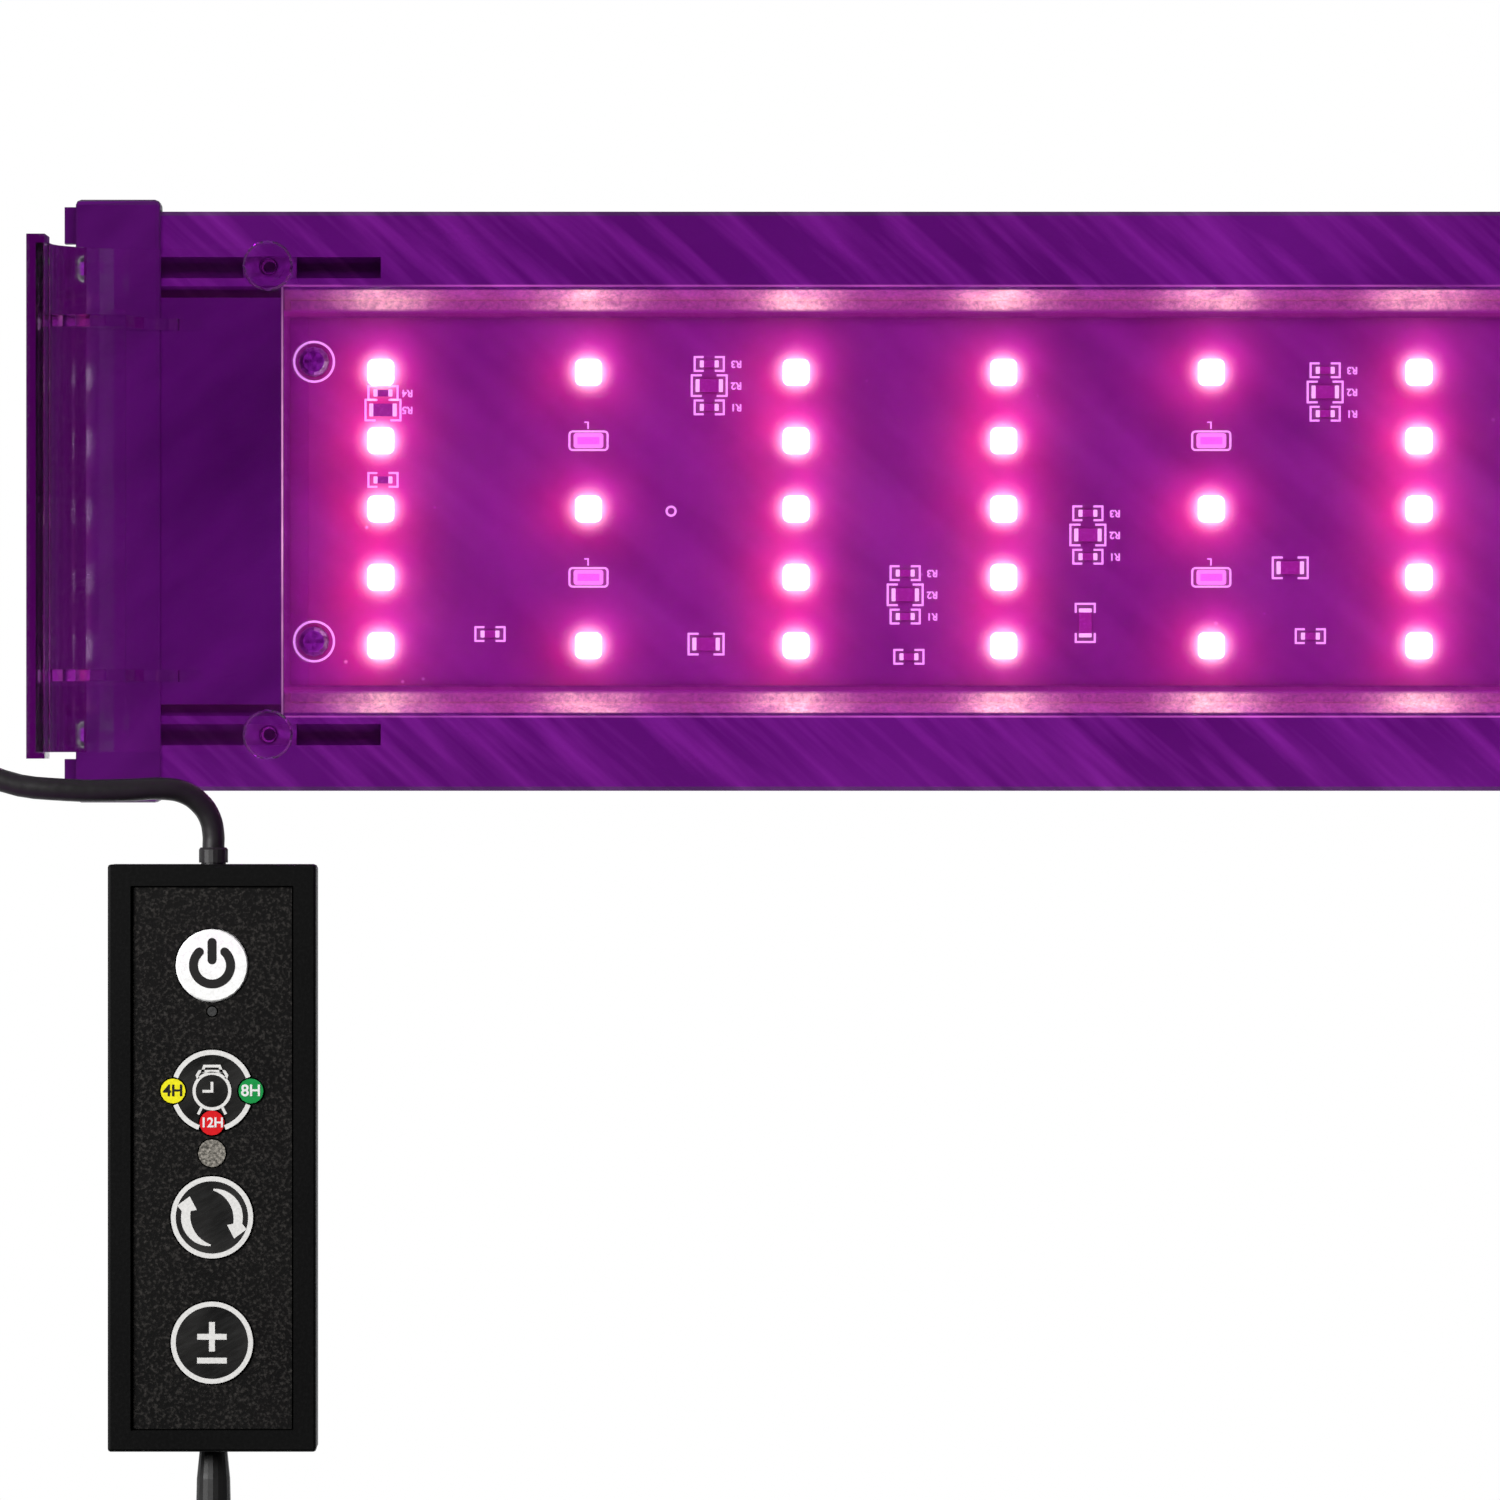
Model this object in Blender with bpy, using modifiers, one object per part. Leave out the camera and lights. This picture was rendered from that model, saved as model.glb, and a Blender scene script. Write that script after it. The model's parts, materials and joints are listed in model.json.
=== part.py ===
"""LED aquarium light: a ribbed aluminium lamp on two clear sliding legs, with an in-line timer controller.

The lamp is long in X, its front is -Y, and it stands on its legs at Z = 0. The controller lies on its face in
front of the lamp's right end, and the spare length of both leads is coiled behind and in front of it.
The sizes below are millimetres; add() turns them into metres.
"""

import math

import bmesh
import bpy
from mathutils import Matrix, Vector

MM = 0.001
GAP = 0.3  # clearance between pieces that touch
ROUND = 16  # facets of a round piece
KEY_FACETS = 28  # facets of the controller's keys and of the openings round them

# Housing: an aluminium extrusion, drawn as half of its section in Y and Z
HOUSING_HALF_LENGTH = 263.0
UNDERSIDE = 60.0
TOP = 72.0
SLOT_Y = 44.0  # middle of the T-slots, milled into the ends of each rail
SLOT_START_X = 215.5
SLOT_MOUTH_HALF, SLOT_INSIDE_HALF = 2.0, 3.2
SLOT_LIP, SLOT_ROOF = 61.5, 65.0
HOUSING_HALF_SECTION = [
    (2.0, 75.0), (7.0, TOP), (33.0, TOP), (33.0, 71.0), (35.0, 71.0), (35.0, TOP), (51.6, TOP), (54.6, 69.0),
    (54.6, 60.8), (53.8, UNDERSIDE), (40.5, UNDERSIDE), (35.0, 68.0),
]  # fmt: skip

# End caps
CAP_INNER_X = 257.0
CAP_FACE_X = 272.9
CAP_WALL_X = 270.4
CAP_HALF_SECTION = [(4.5, 76.3), (8.8, 73.6), (53.6, 73.6), (56.8, 70.4), (56.8, 58.4)]
CAP_HOLLOW_HALF_SECTION = [(2.3, 75.4), (7.2, 72.3), (51.8, 72.3), (54.9, 69.2), (54.9, 59.7)]
WINDOW_HALF_LENGTH = 233.5
CAP_SCREW_Z = 68.5

# Light board: twelve columns of LEDs, five in a full column, three and two dim ones in the others
BOARD_HALF_LENGTH = 232.8
BOARD_HALF_WIDTH = 34.7
BOARD_LOW, BOARD_HIGH = 66.1, 67.7
COLUMN_PITCH = 39.2
ROW_PITCH = 12.9
ROW_SHIFT = -1.4
COLUMN_PATTERN = (5, 3, 5)
COLUMNS = 12
BOARD_SCREW_X, BOARD_SCREW_Y = 228.2, 26.4

# Clear legs
PLATE_INNER_X = 229.0
PLATE_LOW, PLATE_HIGH = 53.5, 56.0
LEG_HALF_WIDTH = 47.3
BEND_X, BEND_Z = 256.5, 20.0  # centre of the elliptical bend
BEND_A, BEND_B = 22.0, 36.0
WALL = 2.5
LIP_OUTER_X = 279.6
LIP_INNER_X = 276.2
LIP_HALF_WIDTH = 48.5
SHELF_LOW, SHELF_HIGH = 18.0, 20.5
SHELF_INNER_X, SHELF_HALF_WIDTH = 262.0, 35.0
RIB_Y = 33.0
KNOB_X = 236.4

# Controller, face down
CX, CY = 245.3, -122.3
HALF_W, HALF_L = 19.25, 54.25
FACE_INSET_X, FACE_INSET_Y = 4.2, 3.95
SPLIT_LOW, SPLIT_HIGH = 4.6, 4.9
BACK = 15.0
SHELL = 1.6
BEZEL_LOW, BEZEL_HIGH = 1.4, 2.8
POST_X, POST_Y = 14.2, 48.6
CABLE_Z = 9.0
BUTTONS = {"power": (35.6, 6.7), "timer": (12.4, 7.65), "mode": (-10.95, 7.65), "level": (-34.1, 7.65)}
BUTTON_FACE = 0.45
STATUS_Y, STATUS_R = 27.1, 0.9
SENSOR_Y, SENSOR_R = 0.9, 2.55
INDICATORS = {"yellow": (7.2, 0.0), "green": (-7.2, 0.0), "red": (0.0, -5.9)}
INDICATOR_R = 2.3

# Leads
LEAD_R = 2.1
COIL_MID_R = 24.0
COIL_LOW = 0.85
LAMP_COIL = (-205.0, 123.1)
SUPPLY_COIL = (271.4, -218.0)
GLAND_X, GLAND_Z = -266.85, 66.0
LAMP_LEAD_DROP = [
    (-266.85, 74.7, 66.0), (-266.85, 80.0, 65.9), (-266.8, 88.0, 61.8), (-266.7, 94.0, 53.0), (-266.4, 97.8, 41.0),
    (-265.3, 100.6, 28.0), (-262.6, 102.6, 16.0), (-257.8, 103.2, 7.0), (-250.5, 101.8, 3.1), (-241.5, 99.2, 2.3),
    (-231.5, 97.3, 2.7), (-220.6, 97.0, 2.95),
]  # fmt: skip
LAMP_LEAD_RUN = [
    (-189.4, 97.0, 7.15), (-180.0, 97.2, 5.6), (-168.0, 97.9, 3.2), (-152.0, 98.6, 2.2), (-110.0, 99.8, 2.2),
    (-60.0, 98.2, 2.2), (0.0, 97.4, 2.2), (60.0, 98.6, 2.2), (120.0, 99.6, 2.2), (180.0, 98.4, 2.2),
    (240.0, 97.8, 2.2), (276.0, 97.0, 2.2), (291.0, 93.2, 2.2), (300.0, 83.0, 2.2), (302.6, 68.0, 2.2),
    (302.2, 40.0, 2.2), (301.4, 5.0, 2.2), (301.8, -22.0, 2.2), (300.2, -36.0, 2.2), (294.6, -46.6, 2.2),
    (284.0, -52.6, 2.2), (272.0, -54.3, 2.4), (261.0, -54.3, 3.9), (254.0, -54.1, 5.6), (250.67, -54.76, 6.7),
    (247.85, -56.65, 7.7), (245.96, -59.47, 8.5), (245.3, -62.6, 8.9), (245.3, -64.6, 9.0),
]  # fmt: skip
SUPPLY_LEAD_START = [(245.3, -186.8, 9.0), (245.3, -189.5, 8.8), (245.3, -196.0, 5.4), (245.3, -202.4, 3.0)]
SUPPLY_LEAD_END = [
    (245.3, -233.6, 7.15), (245.0, -240.0, 6.2), (243.2, -246.6, 4.6), (238.8, -252.4, 3.4), (232.0, -256.0, 3.2),
    (224.0, -257.3, 3.9), (214.0, -257.6, 5.0),
]  # fmt: skip
BOARD_LEAD = [
    (-266.85, 52.6, 65.9), (-266.85, 49.5, 65.6), (-266.85, 44.0, 64.3), (-266.7, 38.0, 64.2), (-264.6, 32.4, 64.2),
    (-259.0, 29.0, 64.3), (-250.0, 28.0, 64.4), (-241.0, 28.0, 64.8), (-233.5, 28.0, 65.3),
]  # fmt: skip
PLUG_Y, PLUG_Z = -257.6, 5.0


# --- tools ---------------------------------------------------------------------------------------------------


def clear_scene():
    for old in list(bpy.data.objects):
        bpy.data.objects.remove(old, do_unlink=True)


def collection(name):
    made = bpy.data.collections.new(name)
    bpy.context.scene.collection.children.link(made)
    return made


def material(name, colour, roughness, metallic=0.0, alpha=1.0):
    made = bpy.data.materials.new(name)
    made.use_nodes = True
    shader = made.node_tree.nodes["Principled BSDF"]
    shader.inputs["Base Color"].default_value = (*colour, 1.0)
    shader.inputs["Roughness"].default_value = roughness
    shader.inputs["Metallic"].default_value = metallic
    shader.inputs["Alpha"].default_value = alpha
    made.diffuse_color = (*colour, alpha)
    return made


def add(name, mesh, paint=None, origin=(0.0, 0.0, 0.0)):
    """An object from a mesh in millimetres; origin is where its own origin goes. No paint makes it a cutter."""
    mesh.transform(Matrix.Scale(MM, 4) @ Matrix.Translation(-Vector(origin)))
    made = bpy.data.objects.new(name, mesh)
    made.location = Vector(origin) * MM
    if paint is None:
        CUTTERS.objects.link(made)
        made.hide_render = True
        made.display_type = "WIRE"
    else:
        mesh.materials.append(paint)
        MODEL.objects.link(made)
    return made


def box_mesh(low, high):
    shape = bmesh.new()
    size = [b - a for a, b in zip(low, high)]
    middle = [(a + b) / 2 for a, b in zip(low, high)]
    place = Matrix.Translation(middle) @ Matrix.Diagonal((*size, 1.0))
    bmesh.ops.create_cube(shape, size=1.0, matrix=place)
    return mesh_of(shape)


def x_box_mesh(side, x_range, y_range, z_range):
    """A box whose X range is given for the right end, and is mirrored for the left one (side -1)."""
    near, far = sorted(side * x for x in x_range)
    return box_mesh((near, y_range[0], z_range[0]), (far, y_range[1], z_range[1]))


def rod_mesh(radius, start, end, facets=ROUND):
    start, end = Vector(start), Vector(end)
    turn = (end - start).to_track_quat("Z", "Y").to_matrix().to_4x4()
    shape = bmesh.new()
    bmesh.ops.create_cone(
        shape,
        cap_ends=True,
        segments=facets,
        radius1=radius,
        radius2=radius,
        depth=(end - start).length,
        matrix=Matrix.Translation((start + end) / 2) @ turn,
    )
    return mesh_of(shape)


def mesh_of(shape):
    bmesh.ops.recalc_face_normals(shape, faces=shape.faces)
    mesh = bpy.data.meshes.new("shape")
    shape.to_mesh(mesh)
    shape.free()
    return mesh


def joined_mesh(meshes):
    """One mesh of several that lie apart from each other."""
    shape = bmesh.new()
    for mesh in meshes:
        shape.from_mesh(mesh)
    return mesh_of(shape)


PLANES = {
    "YZ": Matrix(((0, 0, 1, 0), (1, 0, 0, 0), (0, 1, 0, 0), (0, 0, 0, 1))),
    "XZ": Matrix(((1, 0, 0, 0), (0, 0, -1, 0), (0, 1, 0, 0), (0, 0, 0, 1))),
    "XY": Matrix.Identity(4),
}


def outline_mesh(points, plane, low, high):
    """A flat outline in a plane, made solid from low to high along the plane's normal."""
    curve = bpy.data.curves.new("outline", "CURVE")
    curve.dimensions = "2D"
    curve.fill_mode = "BOTH"
    curve.extrude = (high - low) / 2
    line = curve.splines.new("POLY")
    line.points.add(len(points) - 1)
    line.use_cyclic_u = True
    for point, (u, v) in zip(line.points, points):
        point.co = (u, v, 0.0, 1.0)
    mesh = mesh_from_curve(curve)
    mesh.transform(PLANES[plane])
    normal = PLANES[plane].to_3x3() @ Vector((0.0, 0.0, 1.0))
    mesh.transform(Matrix.Translation(Vector(abs(c) for c in normal) * (low + high) / 2))
    return mesh


def mesh_from_curve(curve):
    """The curve as a mesh, with its caps welded on."""
    holder = bpy.data.objects.new("holder", curve)
    bpy.context.scene.collection.objects.link(holder)
    evaluated = holder.evaluated_get(bpy.context.evaluated_depsgraph_get())
    raw = bpy.data.meshes.new_from_object(evaluated)
    bpy.data.objects.remove(holder, do_unlink=True)
    shape = bmesh.new()
    shape.from_mesh(raw)
    bmesh.ops.remove_doubles(shape, verts=shape.verts, dist=0.0001)
    return mesh_of(shape)


def mirrored_section(half):
    """A closed section from its half at +Y, listed from the top down."""
    return half + [(-y, z) for y, z in reversed(half)]


def bevel(made, width, segments=2, angle=40.0):
    rounding = made.modifiers.new("rounded edges", "BEVEL")
    rounding.width = width * MM
    rounding.segments = segments
    rounding.limit_method = "ANGLE"
    rounding.angle_limit = math.radians(angle)
    return made


def combine(made, other, operation):
    step = made.modifiers.new(f"{operation.lower()} {other.name}", "BOOLEAN")
    step.operation = operation
    step.solver = "EXACT"
    step.object = other
    return made


def unite(made, *meshes):
    for index, mesh in enumerate(meshes):
        combine(made, add(f"{made.name}_joined_{index}", mesh), "UNION")
    return made


def cut(made, *meshes):
    for index, mesh in enumerate(meshes):
        combine(made, add(f"{made.name}_cut_{index}", mesh), "DIFFERENCE")
    return made


def turned(name, profile, paint, origin, axis=(0.0, 0.0, 1.0), facets=ROUND):
    """A turned piece. The profile, (radius, height) from the top down, stands on origin along axis."""
    mesh = bpy.data.meshes.new(name)
    points = [(radius * MM, 0.0, height * MM) for radius, height in profile]
    mesh.from_pydata(points, [(i, i + 1) for i in range(len(points) - 1)], [])
    mesh.materials.append(paint)
    made = bpy.data.objects.new(name, mesh)
    MODEL.objects.link(made)
    made.location = Vector(origin) * MM
    made.rotation_euler = Vector(axis).to_track_quat("Z", "Y").to_euler()
    lathe = made.modifiers.new("turning", "SCREW")
    lathe.steps = facets
    lathe.render_steps = facets
    lathe.use_merge_vertices = True
    lathe.merge_threshold = 0.00001
    lathe.use_smooth_shade = True
    return made


def cross_slot(made, tip, into, size=1.5, depth=0.9):
    """A cross recess for a driver in a screw's head: tip is the head's top, into points into the head."""
    tip, into = Vector(tip), Vector(into)
    sideways = [Vector(axis) for axis in ((1, 0, 0), (0, 1, 0), (0, 0, 1)) if abs(into.dot(Vector(axis))) < 0.5]
    for wide, narrow in (sideways, sideways[::-1]):
        reach = wide * size + narrow * size * 0.22
        ends = (tip - into * 1.0 - reach, tip + into * depth + reach)
        low, high = ([pick(pair) for pair in zip(*ends)] for pick in (min, max))
        cut_index = len(made.modifiers)
        combine(made, add(f"{made.name}_slot_{cut_index}", box_mesh(low, high)), "DIFFERENCE")
    return made


def flowing(guides, spacing):
    """Points at most about spacing apart on a smooth curve through the guide points."""
    guides = [Vector(guide) for guide in guides]
    padded = [2 * guides[0] - guides[1], *guides, 2 * guides[-1] - guides[-2]]
    points = []
    for a, b, c, d in zip(padded, padded[1:], padded[2:], padded[3:]):
        steps = max(1, round((c - b).length / spacing))
        for t in (step / steps for step in range(steps)):
            points.append(
                0.5 * (2 * b + (c - a) * t + (2 * a - 5 * b + 4 * c - d) * t**2 + (3 * b - a - 3 * c + d) * t**3)
            )
    return [*points, guides[-1]]


def tube(name, guides, radius, paint, spacing=10.5):
    """A lead along a smooth route, a closed round tube."""
    curve = bpy.data.curves.new(name, "CURVE")
    curve.dimensions = "3D"
    curve.bevel_depth = radius * MM
    curve.bevel_resolution = 2
    curve.use_fill_caps = True
    points = flowing(guides, spacing)
    line = curve.splines.new("POLY")
    line.points.add(len(points) - 1)
    for point, place in zip(line.points, points):
        point.co = (*(place * MM), 1.0)
    curve.materials.append(paint)
    made = bpy.data.objects.new(name, curve)
    MODEL.objects.link(made)
    return made


# --- lamp ----------------------------------------------------------------------------------------------------


def t_slot(made, side, y):
    """A short T-slot for a leg's slot nut, open at the end of the rail."""
    start, end = sorted((side * SLOT_START_X, side * (HOUSING_HALF_LENGTH + 1.0)))
    mouth = box_mesh((start, y - SLOT_MOUTH_HALF, UNDERSIDE - 1.0), (end, y + SLOT_MOUTH_HALF, SLOT_LIP + 0.5))
    inside = box_mesh((start, y - SLOT_INSIDE_HALF, SLOT_LIP), (end, y + SLOT_INSIDE_HALF, SLOT_ROOF))
    cut(made, mouth, inside)


def housing(paint):
    mesh = outline_mesh(
        mirrored_section(HOUSING_HALF_SECTION), "YZ", -HOUSING_HALF_LENGTH, HOUSING_HALF_LENGTH
    )
    made = add("housing_extrusion", mesh, paint)
    for side in (-1, 1):
        for y in (-SLOT_Y, SLOT_Y):
            t_slot(made, side, y)
            start, end = (side * (HOUSING_HALF_LENGTH - 12.0), y, CAP_SCREW_Z), (side * 264.0, y, CAP_SCREW_Z)
            cut(made, rod_mesh(1.8, start, end, 12))
    for x, y in board_screw_places():
        cut(made, rod_mesh(1.8, (x, y, 67.0), (x, y, 71.5), 12))
    return made


def end_cap(name, side, paint):
    """A moulded cap: a sleeve over the housing, an end wall with two corner lugs, and a tongue under the board."""
    section = mirrored_section(CAP_HALF_SECTION)
    ends = sorted((side * CAP_INNER_X, side * CAP_FACE_X))
    made = bevel(add(name, outline_mesh(section, "YZ", *ends), paint), 1.0)
    hollow_ends = sorted((side * (CAP_INNER_X - 1.0), side * CAP_WALL_X))
    cut(made, outline_mesh(mirrored_section(CAP_HOLLOW_HALF_SECTION), "YZ", *hollow_ends))
    for y in (-1, 1):
        near, far = sorted((y * 48.6, y * 55.5))
        unite(made, x_box_mesh(side, (271.0, 275.2), (near, far), (62.6, 68.8)))
    unite(made, x_box_mesh(side, (WINDOW_HALF_LENGTH + GAP, CAP_INNER_X + 1.5), (-38.3, 38.3), (59.0, 62.0)))
    for y in (-SLOT_Y, SLOT_Y):
        cut(made, rod_mesh(1.8, (side * 269.0, y, CAP_SCREW_Z), (side * 274.0, y, CAP_SCREW_Z), 12))
    return made


def end_cap_screw(name, side, y, paint):
    profile = [(0, 1.7), (1.7, 1.7), (2.4, 1.1), (2.6, 0.0), (1.5, 0.0), (1.5, -20.0), (1.0, -21.2), (0, -21.2)]
    tip = (side * (CAP_FACE_X + GAP), y, CAP_SCREW_Z)
    made = turned(name, profile, paint, tip, (side, 0, 0), 12)
    return cross_slot(made, (tip[0] + side * 1.7, y, CAP_SCREW_Z), (-side, 0, 0))


def board_screw_places():
    return [(x, y) for x in (-BOARD_SCREW_X, BOARD_SCREW_X) for y in (-BOARD_SCREW_Y, BOARD_SCREW_Y)]


def board_screw(name, x, y, paint):
    """A pan-head screw with its head under the board."""
    profile = [(0, 5.4), (1.0, 5.4), (1.5, 4.8), (1.5, 0.0), (2.9, 0.0), (2.7, -1.0), (2.0, -1.6), (0, -1.6)]
    made = turned(name, profile, paint, (x, y, 65.8), facets=12)
    return cross_slot(made, (x, y, 64.2), (0, 0, 1), 1.7)


def led_places():
    """(x, y, dim) of every LED: a three-LED column holds two dim ones in its gaps."""
    places = []
    for column in range(COLUMNS):
        x = (column - (COLUMNS - 1) / 2) * COLUMN_PITCH
        full = COLUMN_PATTERN[column % len(COLUMN_PATTERN)] == 5
        for row in range(5):
            places.append((x, ROW_SHIFT + (row - 2) * ROW_PITCH, not full and row % 2 == 1))
    return places


def led_board(paint):
    low = (-BOARD_HALF_LENGTH, -BOARD_HALF_WIDTH, BOARD_LOW)
    made = add("led_board", box_mesh(low, (BOARD_HALF_LENGTH, BOARD_HALF_WIDTH, BOARD_HIGH)), paint)
    packages = []
    for x, y, dim in led_places():
        half_x, half_y = (2.8, 1.4) if dim else (2.5, 2.5)
        packages.append(
            box_mesh((x - half_x, y - half_y, BOARD_LOW - 0.9), (x + half_x, y + half_y, BOARD_LOW + 0.3))
        )
    unite(made, joined_mesh(packages))
    cut(made, joined_mesh([rod_mesh(1.8, (x, y, 65.0), (x, y, 69.0), 12) for x, y in board_screw_places()]))
    return made


def splash_cover(paint):
    reach = WINDOW_HALF_LENGTH - GAP
    return add("splash_cover", box_mesh((-reach, -38.0, 61.0), (reach, 38.0, 63.0)), paint)


def cover_seal(name, side, paint):
    section = [(side * y, z) for y, z in ((36.0, 63.3), (37.8, 63.3), (36.4, 65.2), (35.6, 65.2))]
    return add(name, outline_mesh(section, "YZ", -WINDOW_HALF_LENGTH + 1.0, WINDOW_HALF_LENGTH - 1.0), paint)


def lamp_gland(paint):
    """A grommet through the left cap's rear wall, with a tapered boot."""
    profile = [
        (0, 17.2), (2.9, 17.2), (3.5, 9.0), (3.9, 2.6), (4.4, 2.4), (4.6, 1.8), (4.6, 0.0), (3.0, 0.0),
        (3.0, -4.0), (0, -4.0),
    ]  # fmt: skip
    return turned("lamp_gland", profile, paint, (GLAND_X, 57.1, GLAND_Z), (0, 1, 0), 20)


# --- legs ----------------------------------------------------------------------------------------------------


def quarter(centre_x, centre_z, a, b, steps=10):
    """Points on a quarter ellipse, from straight above its centre to straight out."""
    angles = [math.radians(90.0 * (1 - step / steps)) for step in range(steps + 1)]
    return [(centre_x + a * math.cos(angle), centre_z + b * math.sin(angle)) for angle in angles]


def leg_section():
    outer = quarter(BEND_X, BEND_Z, BEND_A, BEND_B)
    inner = quarter(BEND_X, BEND_Z, BEND_A - WALL, BEND_B - WALL)
    foot = [(outer[-1][0], SHELF_LOW), (inner[-1][0], SHELF_LOW)]
    return [(PLATE_INNER_X, PLATE_HIGH), *outer, *foot, *reversed(inner), (PLATE_INNER_X, PLATE_LOW)]


def rib_section():
    """A curved gusset between the bend and the shelf."""
    outer = quarter(BEND_X, BEND_Z, BEND_A - WALL + 1.0, BEND_B - WALL + 1.0, 8)
    inner = quarter(246.0, 19.0, SHELF_INNER_X - 246.0, PLATE_LOW + 0.5 - 19.0, 8)
    return [*outer, (outer[-1][0], 19.0), *reversed(inner)]


def mirrored(points, side):
    return [(side * u, v) for u, v in points]


def leg(name, side, paint):
    """A bent clear bracket: top plate, curved wall, rim shelf with two gussets, and a lip that hangs outside."""
    made = add(name, outline_mesh(mirrored(leg_section(), side), "XZ", -LEG_HALF_WIDTH, LEG_HALF_WIDTH), paint)
    lip = x_box_mesh(side, (LIP_INNER_X, LIP_OUTER_X), (-LIP_HALF_WIDTH, LIP_HALF_WIDTH), (0.0, 20.6))
    shelf_y = (-SHELF_HALF_WIDTH, SHELF_HALF_WIDTH)
    shelf = x_box_mesh(side, (SHELF_INNER_X, LIP_INNER_X + 1.0), shelf_y, (SHELF_LOW + 0.2, SHELF_HIGH))
    unite(made, lip, shelf)
    for y in (-RIB_Y, RIB_Y):
        unite(made, outline_mesh(mirrored(rib_section(), side), "XZ", y - 1.1, y + 1.1))
    for y in (-SLOT_Y, SLOT_Y):
        x = side * KNOB_X
        unite(made, rod_mesh(4.2, (x, y, PLATE_HIGH - 0.5), (x, y, UNDERSIDE - GAP)))
        cut(made, rod_mesh(1.8, (x, y, PLATE_LOW - 1.0), (x, y, UNDERSIDE + 1.0), 16))
    for way in (-1, 1):
        corner = [(228.0, way * 34.5), (228.0, way * 49.0), (234.0, way * 49.0)]
        cut(made, outline_mesh(mirrored(corner, side), "XY", PLATE_LOW - 1.0, PLATE_HIGH + 1.0))
    return made


def leg_knob(name, side, y, paint):
    """A clear thumb screw with a disc and a cross grip. Its origin is on its own axis."""
    profile = [
        (0, 10.7), (1.1, 10.7), (1.5, 10.2), (1.5, 0.0), (3.0, 0.0), (3.0, -5.0), (4.5, -5.0), (4.75, -5.4),
        (4.75, -6.8), (4.3, -7.3), (0, -7.3),
    ]  # fmt: skip
    x, top = side * KNOB_X, PLATE_LOW - GAP
    made = turned(name, profile, paint, (x, y, top))
    for across in ((4.4, 0.8), (0.8, 4.4)):
        low = (x - across[0], y - across[1], top - 5.5)
        grip = box_mesh(low, (x + across[0], y + across[1], top - 1.2))
        combine(made, add(f"{name}_grip_{len(made.modifiers)}", grip), "UNION")
    return made


def slot_nut(name, side, y, paint):
    x = side * KNOB_X
    made = add(name, box_mesh((x - 5.0, y - 2.9, 61.8), (x + 5.0, y + 2.9, 64.7)), paint, (x, y, 61.8))
    return cut(made, rod_mesh(1.8, (x, y, 60.0), (x, y, 66.0), 16))


# --- controller ----------------------------------------------------------------------------------------------


def at(x, y, z):
    """A point given from the controller's centre line."""
    return (CX + x, CY + y, z)


def controller_rod(radius, x, y, low, high, facets=ROUND):
    return rod_mesh(radius, at(x, y, low), at(x, y, high), facets)


def posts():
    return [(x, y) for x in (-POST_X, POST_X) for y in (-POST_Y, POST_Y)]


def face_openings(slack, low, high):
    """Cutters for everything that shows in the controller's face."""
    cuts = [controller_rod(radius + slack, 0, y, low, high, KEY_FACETS) for y, radius in BUTTONS.values()]
    cuts.append(controller_rod(STATUS_R + slack, 0, STATUS_Y, low, high, 12))
    cuts.append(controller_rod(SENSOR_R + slack, 0, SENSOR_Y, low, high))
    timer_y = BUTTONS["timer"][0]
    for x, y in INDICATORS.values():
        cuts.append(controller_rod(INDICATOR_R + slack, x, timer_y + y, low, high))
    return cuts


def controller_frame(paint):
    """The front shell: a raised rim round the recessed face, with the openings for the buttons."""
    made = add("controller_frame", box_mesh(at(-HALF_W, -HALF_L, 0.0), at(HALF_W, HALF_L, SPLIT_LOW)), paint)
    bevel(made, 0.5)
    half_x, half_y = HALF_W - FACE_INSET_X, HALF_L - FACE_INSET_Y
    inner_x, inner_y = HALF_W - SHELL, HALF_L - SHELL
    cut(
        made,
        box_mesh(at(-half_x, -half_y, -1.0), at(half_x, half_y, BEZEL_LOW)),
        box_mesh(at(-inner_x, -inner_y, BEZEL_HIGH), at(inner_x, inner_y, SPLIT_LOW + 1.0)),
    )
    for x, y in posts():
        unite(made, controller_rod(2.6, x, y, BEZEL_HIGH - 0.5, SPLIT_LOW, 16))
        cut(made, controller_rod(1.3, x, y, BEZEL_HIGH + 0.15, SPLIT_LOW + 1.0, 12))
    return cut(made, *face_openings(0.2, 0.5, BEZEL_HIGH + 0.6))


def controller_base(paint):
    """The rear shell, with four screw posts, two ledges for the board and a cable hole in each end."""
    made = add("controller_base", box_mesh(at(-HALF_W, -HALF_L, SPLIT_HIGH), at(HALF_W, HALF_L, BACK)), paint)
    bevel(made, 0.8)
    inner_x, inner_y = HALF_W - SHELL, HALF_L - SHELL
    cut(made, box_mesh(at(-inner_x, -inner_y, SPLIT_HIGH - 1.0), at(inner_x, inner_y, BACK - SHELL)))
    for side in (-1, 1):
        near, far = sorted((side * (inner_x - 2.0), side * (inner_x + 0.4)))
        unite(made, box_mesh(at(near, -30.0, 11.0), at(far, 30.0, BACK - SHELL + 0.3)))
    for x, y in posts():
        unite(made, controller_rod(2.8, x, y, SPLIT_HIGH + 0.4, BACK - SHELL + 0.3, 16))
        cut(made, controller_rod(1.3, x, y, SPLIT_HIGH, BACK + 1.0, 12))
        cut(made, controller_rod(2.7, x, y, BACK - 1.3, BACK + 1.0, 16))
    return cut(made, rod_mesh(2.6, at(0, -HALF_L - 1.0, CABLE_Z), at(0, HALF_L + 1.0, CABLE_Z), 16))


def face_label(paint):
    half_x, half_y = HALF_W - FACE_INSET_X - GAP, HALF_L - FACE_INSET_Y - GAP
    made = add("face_label", box_mesh(at(-half_x, -half_y, 0.85), at(half_x, half_y, 1.1)), paint)
    return cut(made, *face_openings(0.25, 0.0, 2.0))


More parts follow.
